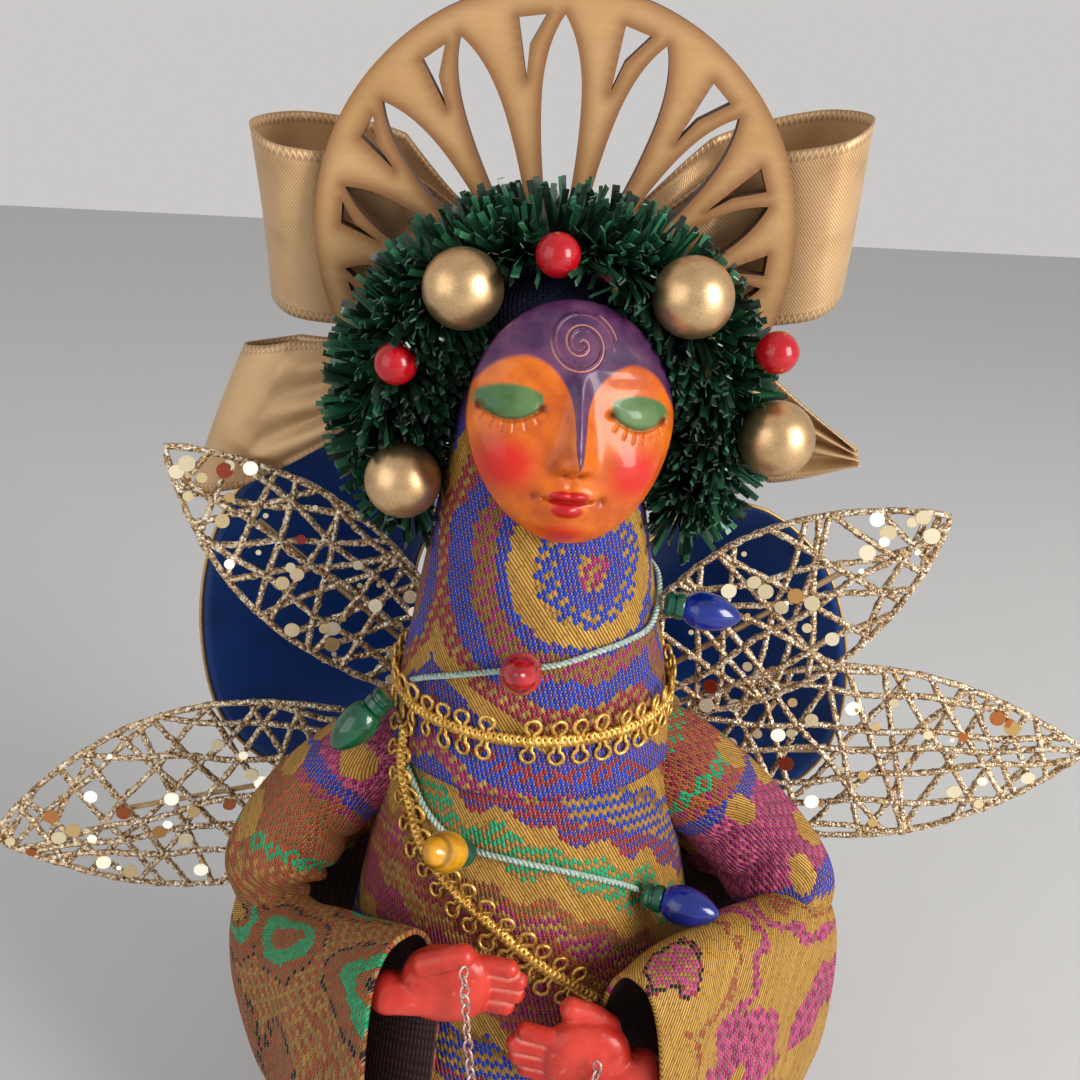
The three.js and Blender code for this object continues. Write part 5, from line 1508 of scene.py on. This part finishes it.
def makeGoldBow():
    bow, knot = bows["gold"], "gold_knot_cloth"
    origin, full, start = np.array(bow["place"], float), bow["full"], bow["start"]
    cloth = (satin("gold_satin", bows["goldLook"], full), "gold_satin")
    makeKnot(knot, bow["knot"], origin, cloth, "gold_knot")
    for side, (reach, rise, bulge) in bow["upper"].items():
        far = abs(reach)
        plan = [(start, -2), (start + 14, -1), (0.62 * far, -0.06 * bulge), (0.9 * far, -0.2 * bulge),
                (far, 0.2 * bulge), (0.88 * far, 0.7 * bulge), (0.6 * far, 0.8 * bulge), (start + 14, 9),
                (start, 4)]
        route = [(math.copysign(x, reach), y, rise * (x - start) / (far - start)) for x, y in plan]
        line = spline(route, 200, True)
        widths = np.minimum(full, 14 + 1.1 * np.maximum(0, np.hypot(line[:, 0], line[:, 2]) - 12))
        path, axis = turnedX(line, bow["lean"]) + origin, turnedX([0, 0, 1], bow["lean"])
        name = "gold_" + side + "_loop_cloth"
        piece, total, _ = ribbonSheet(name, path, True, axis, widths, full, len(side))
        sewBow(piece, total, full, cloth, "gold_loop_upper_" + side)
    line = spline(bow["lower"], 200, True)
    widths = np.minimum(full, 9 + 0.55 * np.maximum(0, -line[:, 0] - 12))
    piece, total, _ = ribbonSheet("gold_low_loop_cloth", line + origin, True, (0.36, 0, 0.93), widths, full,
                                  31)
    sewBow(piece, total, full, cloth, "gold_loop_lower_left")
    line = spline(bow["tail"], 120)
    widths = np.minimum(6 + 0.95 * np.maximum(0, line[:, 0] - 14), 3 + 1.3 * (79 - line[:, 0]))
    piece, total, _ = ribbonSheet("gold_tail_cloth", line + origin, False, (-0.34, 0, 0.94), widths, full, 37)
    sewBow(piece, total, full, cloth, "gold_tail_right", 0.75)


def makeBlueBow():
    bow, knot = bows["blue"], "blue_knot_cloth"
    origin, full = np.array(bow["place"], float), bow["full"]
    cloth = (satin("blue_satin", bows["blueLook"], full), "blue_satin")
    wired = wireFinish("gold_edge", (0.35, 0.2, 0.06), (0.78, 0.56, 0.24))
    makeKnot(knot, bow["knot"], origin, cloth, "blue_knot")
    for side in ("left", "right"):
        route = [(x, bow["shift"] * min(1, (abs(x) - bow["start"]) / bow["run"]), z) for x, z in bow[side]]
        line = spline(route, 220, True)
        widths = np.minimum(full, 12 + 1.2 * np.maximum(0, np.hypot(line[:, 0], line[:, 2]) - 12))
        anchor = origin + (bow[side][0][0], 0, 0)
        shares = np.array([bow["drawn"], 1.0, bow["drawn"]])
        piece, total, place = ribbonSheet("blue_" + side + "_loop_cloth", line + origin, True, (0, 1, 0),
                                          widths, full, 41 + len(side),
                                          lambda p: anchor + shares * (p - anchor))
        sewBow(piece, total, full, cloth, "blue_loop_" + side, share=0.85)
        steps = np.linspace(0, 1, 330, endpoint=False)
        edges = [tube("blue_edge", place(steps, np.full(330, share)), bow["edge"], 6, True)
                 for share in (0.0, 1.0)]
        dress(gather("blue_" + side + "_loop_edges", edges), wired, "blue_satin")


makeGoldBow()
makeBlueBow()
print("bows tied")

# wings: glitter net on a leaf-shaped rim, dotted with sequins
wings = {
    "clear": 7.0, "strand": 0.86, "spacing": 8.6, "slopes": (10, 70, 130), "sequins": 44,
    "sequinSizes": [0.7, 1.3, 1.8, 2.0], "sequinLift": 1.25,
}
wingPlaces = {
    "upper_left": {"root": (-9, 38.37, 127), "tip": (-90, 20, 207), "breadth": 37.0},
    "upper_right": {"root": (9, 38.37, 127), "tip": (98, 20, 199), "breadth": 42.0},
    "lower_left": {"root": (-9, 44.56, 116), "tip": (-144, 20, 95), "breadth": 57.0},
    "lower_right": {"root": (9, 44.95, 114), "tip": (143, 20, 137), "breadth": 52.0},
}


def glitterFinish():
    paint = Paint("champagne_glitter")
    here = paint.places()
    lit = paint.split(paint.cells(here, 0.0007, out="Color"))
    dome = paint.cells(here, 0.0007)
    # painted glints: each grain gets a random brightness, from dark brown up to near white
    colour = paint.ramp(lit, [(0.0, (0.16, 0.08, 0.035)), (0.3, (0.42, 0.26, 0.13)),
                              (0.65, (0.7, 0.52, 0.31)), (0.85, (0.9, 0.76, 0.54)),
                              (1.0, (1.0, 0.98, 0.92))])
    return paint.shade({
        "Base Color": colour,
        "Metallic": 0.55,
        "Roughness": 0.18 + 0.4 * lit.also(1),
        "Normal": paint.bump(1 - dome, 0.9, 0.4),
    })


def sequinFinish():
    paint = Paint("sequins")
    tint = paint.mask("tint")
    wear = paint.noise(paint.places(), 0.0012, 3.0)
    colour = paint.ramp(tint, [(0.0, (0.3, 0.02, 0.015)), (0.07, (0.45, 0.14, 0.03)),
                               (0.16, (0.6, 0.36, 0.11)), (0.35, (0.78, 0.62, 0.34)),
                               (0.75, (0.95, 0.86, 0.62)), (1.0, (1.0, 1.0, 0.96))])
    # painted glints: the palest sequins are near white and glow a little through the emission
    glint = paint.tinted(colour, tint.between(0.72, 0.78))
    return paint.shade({
        "Base Color": colour,
        "Metallic": 0.4,
        "Emission Color": glint,
        "Emission Strength": 0.5,
        "Roughness": 0.15 + 0.2 * wear,
        "Normal": paint.bump(wear, 0.2, 0.1),
    })


def makeWing(side, wing, net, shiny):
    root, tip = np.array(wing["root"], float), np.array(wing["tip"], float)
    length = float(np.linalg.norm(tip - root))
    along = (tip - root) / length
    normal = unit(np.cross(along, [0, 0, 1.0]))
    normal = normal if normal[1] > 0 else -normal
    across = np.cross(normal, along)

    def half(x):
        leaf = np.maximum(0, np.sin(math.pi * np.clip(x / length, 0, 1) ** 1.2))
        return 0.5 * wing["breadth"] * leaf ** 0.85

    def stood(x, y, z):
        outer = np.multiply.outer
        return root + outer(x, along) + outer(y, across) + outer(z, normal)

    s = np.linspace(wings["clear"], length, 70)
    rimX, rimY = np.concatenate([s, s[-2::-1]]), np.concatenate([half(s), -half(s[-2::-1])])
    lines = [(stood(rimX, rimY * 0.985, 0 * rimX), True)]
    t = np.arange(-length, length, 1.0)
    for family, slope in enumerate(wings["slopes"]):
        offset = -length
        while offset < length:
            offset += wings["spacing"] * chance.uniform(0.6, 1.4)
            angle = math.radians(slope + chance.uniform(-16, 16))
            x = 0.5 * length + t * math.cos(angle) - offset * math.sin(angle)
            y = t * math.sin(angle) + offset * math.cos(angle) + 0.6 * np.sin(0.21 * t + offset)
            inside = (x > wings["clear"] + 0.5) & (x < length - 0.5) & (np.abs(y) < half(x) - 0.2)
            runs = np.split(np.arange(len(t)), np.where(np.diff(inside.astype(int)) != 0)[0] + 1)
            for run in runs:
                if inside[run[0]] and len(run) > 4:
                    lines.append((stood(x[run], y[run], (family - 1) * 0.35 + 0 * x[run]), False))
    piece = manyTubes("wing_" + side + "_net", lines, wings["strand"])
    points = pointsOf(piece)
    setPoints(piece, points + chance.normal(0, 0.11, points.shape))
    dress(piece, net, "glitter_net", side + "_wing", ["wing_" + side])
    clearPick()
    bpy.ops.mesh.primitive_cylinder_add(vertices=14, radius=mm, depth=0.18 * mm)
    disc = named("sequin")
    places = []
    while len(places) < wings["sequins"]:
        x = chance.uniform(wings["clear"] + 4, length - 4)
        y = chance.uniform(-1, 1) * half(x) * 0.88
        tilt = unit(-normal + 0.14 * (along * chance.uniform(-1, 1) + across * chance.uniform(-1, 1)))
        spot = stood(x, y, -wings["sequinLift"])
        places.append(placed(spot, *around(tilt), tilt, chance.choice(wings["sequinSizes"])))
    spangles = strew("wing_" + side + "_sequins", disc, places, chance.random(len(places)))
    spangles.data.shade_flat()
    dress(spangles, shiny, "glitter_net", side + "_wing")


glitterPaint, sequinPaint = glitterFinish(), sequinFinish()
for wingSide, wingPlace in wingPlaces.items():
    makeWing(wingSide, wingPlace, glitterPaint, sequinPaint)
print("wings strung")

# toy bulbs in green sockets
bulbs = {
    "socket": (3.0, 4.5), "bulb": (4.3, 12.5), "gap": 0.3, "ringShaded": ("red", "yellow"), "shadeRingPitch": 4.1,
    "outline": [(0, 0), (0.62, 0), (0.92, 0.16), (1, 0.34), (0.9, 0.58), (0.62, 0.8), (0.3, 0.94), (0, 1)],
    "cup": [(0, 0), (0.75, 0), (1, 0.9), (1, 1.6), (0.86, 1.9), (0.86, 2.4), (1, 2.7), (1, 4.2),
            (0.93, 4.5), (0, 4.5)],
    "seats": {"red": ((-4, 177.4, 5.4), (-2, 24)), "blue_upper": ((75, 184.5, 5.3), (82, -6)),
              "green": ((-63, 163, 7.8), (-72, -44)), "yellow": ((-19.6, 136.2, 4.3), (-28, 32)),
              "blue_lower": ((43, 122.8, 3.5), (70, 0))},
    "colours": {"red": (0.7, 0.012, 0.02), "blue_upper": (0.002, 0.04, 0.48), "green": (0.005, 0.2, 0.075),
                "yellow": (0.85, 0.4, 0.012), "blue_lower": (0.002, 0.03, 0.42)},
}


def plasticFinish(name, colour, clear):
    paint = Paint(name)
    swirl = paint.noise(paint.places(), 0.004, 3.0)
    deep, ring = (tuple(share * c for c in colour) for share in (0.55, 0.25))
    tone = paint.mix(swirl.between(0.3, 0.7), deep, colour)
    return paint.shade({
        # painted shade: darker rings where the ring mask says, for the reflections seen in the clear bulb
        "Base Color": paint.mix(paint.mask("ring") * 0.75, tone, ring),
        "Roughness": 0.14 + 0.12 * swirl,
        "Transmission Weight": clear,
        "IOR": 1.46,
        "Normal": paint.bump(swirl, 0.08, 0.2),
        "Coat Weight": 0.5,
    })


def makeBulb(name, seat, axis, socketPaint):
    radius, long = bulbs["socket"]
    socket = turned("socket_" + name + "_cup", [(x * radius, y) for x, y in bulbs["cup"]], 32, seat, axis)
    dress(socket, socketPaint, "socket", "doll", ["socket_" + name])
    wide, tall = bulbs["bulb"]
    shape = spline([(x * wide, long + bulbs["gap"] + y * tall) for x, y in bulbs["outline"]], 40)
    shape[0, 0] = shape[-1, 0] = 0.0
    lamp = smoothed(turned("bulb_" + name + "_glass", shape, 40, seat, axis))
    rise = (pointsOf(lamp) - seat) @ axis - long
    # painted shade rings along the red and yellow bulbs
    ring = smooth(0.35, 0.9, np.sin(2 * math.pi * rise / bulbs["shadeRingPitch"])) * smooth(0.5, 0.6, rise / tall)
    isRingShaded = name in bulbs["ringShaded"]
    setMask(lamp, "ring", ring * isRingShaded)
    plastic = plasticFinish(name + "_plastic", bulbs["colours"][name], 0.2 if isRingShaded else 0.55)
    dress(lamp, plastic, name.split("_")[0] + "_bulb", "doll", ["bulb_" + name])


greenPlastic = plasticFinish("green_socket", (0.004, 0.09, 0.045), 0.0)
for bulbName, ((seatAzimuth, seatHeight, seatOffset), bulbWay) in bulbs["seats"].items():
    bulbSeat = onBody(np.array(seatAzimuth), seatHeight, seatOffset)
    makeBulb(bulbName, bulbSeat, outward(*bulbWay), greenPlastic)
print("bulbs fitted")

# pieces that keep their CAD solid get their own finish
def woodFinish(name, dark, light):
    paint = Paint(name)
    x = paint.split(paint.places())
    long = paint.joined(x, x.also(1), x.also(2) * 0.1)
    grain = paint.noise(long, 0.002, 5.0, 0.65)
    return paint.shade({
        "Base Color": paint.mix(grain.between(0.3, 0.7), dark, light),
        "Roughness": 0.6 + 0.2 * grain,
        "Normal": paint.bump(grain, 0.25, 0.15),
    })


for woodNode in ("base_disc", "centre_dowel"):
    refinish(woodNode, woodFinish(woodNode + "_wood", (0.42, 0.27, 0.13), (0.68, 0.49, 0.28)))
refinish("cone_core", grainFinish("grey_card", 0.0018, 5.0, ((0.36, 0.31, 0.24), (0.58, 0.51, 0.42)),
                                  (0.85, 0.1), (0.3, 0.15)))
refinish("arm_wire", wireFinish("steel_wire", (0.4, 0.38, 0.34), (0.72, 0.7, 0.66)))
gildedWire = wireFinish("gilded_wire", (0.36, 0.22, 0.1), (0.72, 0.52, 0.3))
for wingSide in wingPlaces:
    refinish("wing_wire_" + wingSide, gildedWire)

# pale floor, pale surroundings, a window-like key from the right and a soft fill
stageLook = {"floor": (0.72, 0.71, 0.7), "wall": (0.6, 0.585, 0.575), "ambient": 0.46}
lamps = {
    "window": {"place": (1.0, -0.74, 0.56), "aim": (0.0, 0.0, 0.2), "size": (0.55, 0.8), "power": 18.5,
               "colour": (1.0, 0.98, 0.95)},
    "fill": {"place": (-1.12, -0.96, 0.62), "aim": (0.0, 0.0, 0.17), "size": (1.28, 1.28), "power": 7.0,
             "colour": (0.95, 0.97, 1.0)},
}


def makeStage():
    clearPick()
    bpy.ops.mesh.primitive_plane_add(size=6)
    floor = named("floor")
    paint = Paint("pale_floor")
    speck = paint.noise(paint.places(), 0.02, 3.0)
    floor.data.materials.append(paint.shade({
        "Base Color": paint.mix(speck, stageLook["floor"], tuple(0.96 * c for c in stageLook["floor"])),
        "Roughness": 0.8,
    }))
    world = bpy.data.worlds.new("surroundings")
    bpy.context.scene.world = world
    world.use_nodes = True
    tree = world.node_tree
    tree.nodes.clear()
    ambient, wall = tree.nodes.new("ShaderNodeBackground"), tree.nodes.new("ShaderNodeBackground")
    ambient.inputs["Color"].default_value = (1, 1, 1, 1)
    ambient.inputs["Strength"].default_value = stageLook["ambient"]
    wall.inputs["Color"].default_value = (*stageLook["wall"], 1)
    path, mixed = tree.nodes.new("ShaderNodeLightPath"), tree.nodes.new("ShaderNodeMixShader")
    output = tree.nodes.new("ShaderNodeOutputWorld")
    seen = path.outputs["Is Camera Ray"]
    for kind in ("Is Glossy Ray", "Is Transmission Ray"):  # metal and glass show the wall too
        either = tree.nodes.new("ShaderNodeMath")
        either.operation = "MAXIMUM"
        tree.links.new(seen, either.inputs[0])
        tree.links.new(path.outputs[kind], either.inputs[1])
        seen = either.outputs[0]
    tree.links.new(seen, mixed.inputs[0])
    tree.links.new(ambient.outputs[0], mixed.inputs[1])
    tree.links.new(wall.outputs[0], mixed.inputs[2])
    tree.links.new(mixed.outputs[0], output.inputs["Surface"])


def areaLight(name, look):
    data = bpy.data.lights.new(name, "AREA")
    data.shape = "RECTANGLE"
    data.size, data.size_y = look["size"]
    data.energy = look["power"]
    data.color = look["colour"]
    lamp = added(name, data)
    lamp.location = look["place"]
    lamp.rotation_euler = (Vector(look["aim"]) - Vector(look["place"])).to_track_quat("-Z", "Y").to_euler()


makeStage()
for lampName, lampLook in lamps.items():
    areaLight(lampName, lampLook)
bpy.context.scene.view_settings.view_transform = "Standard"
print("stage and lights set")
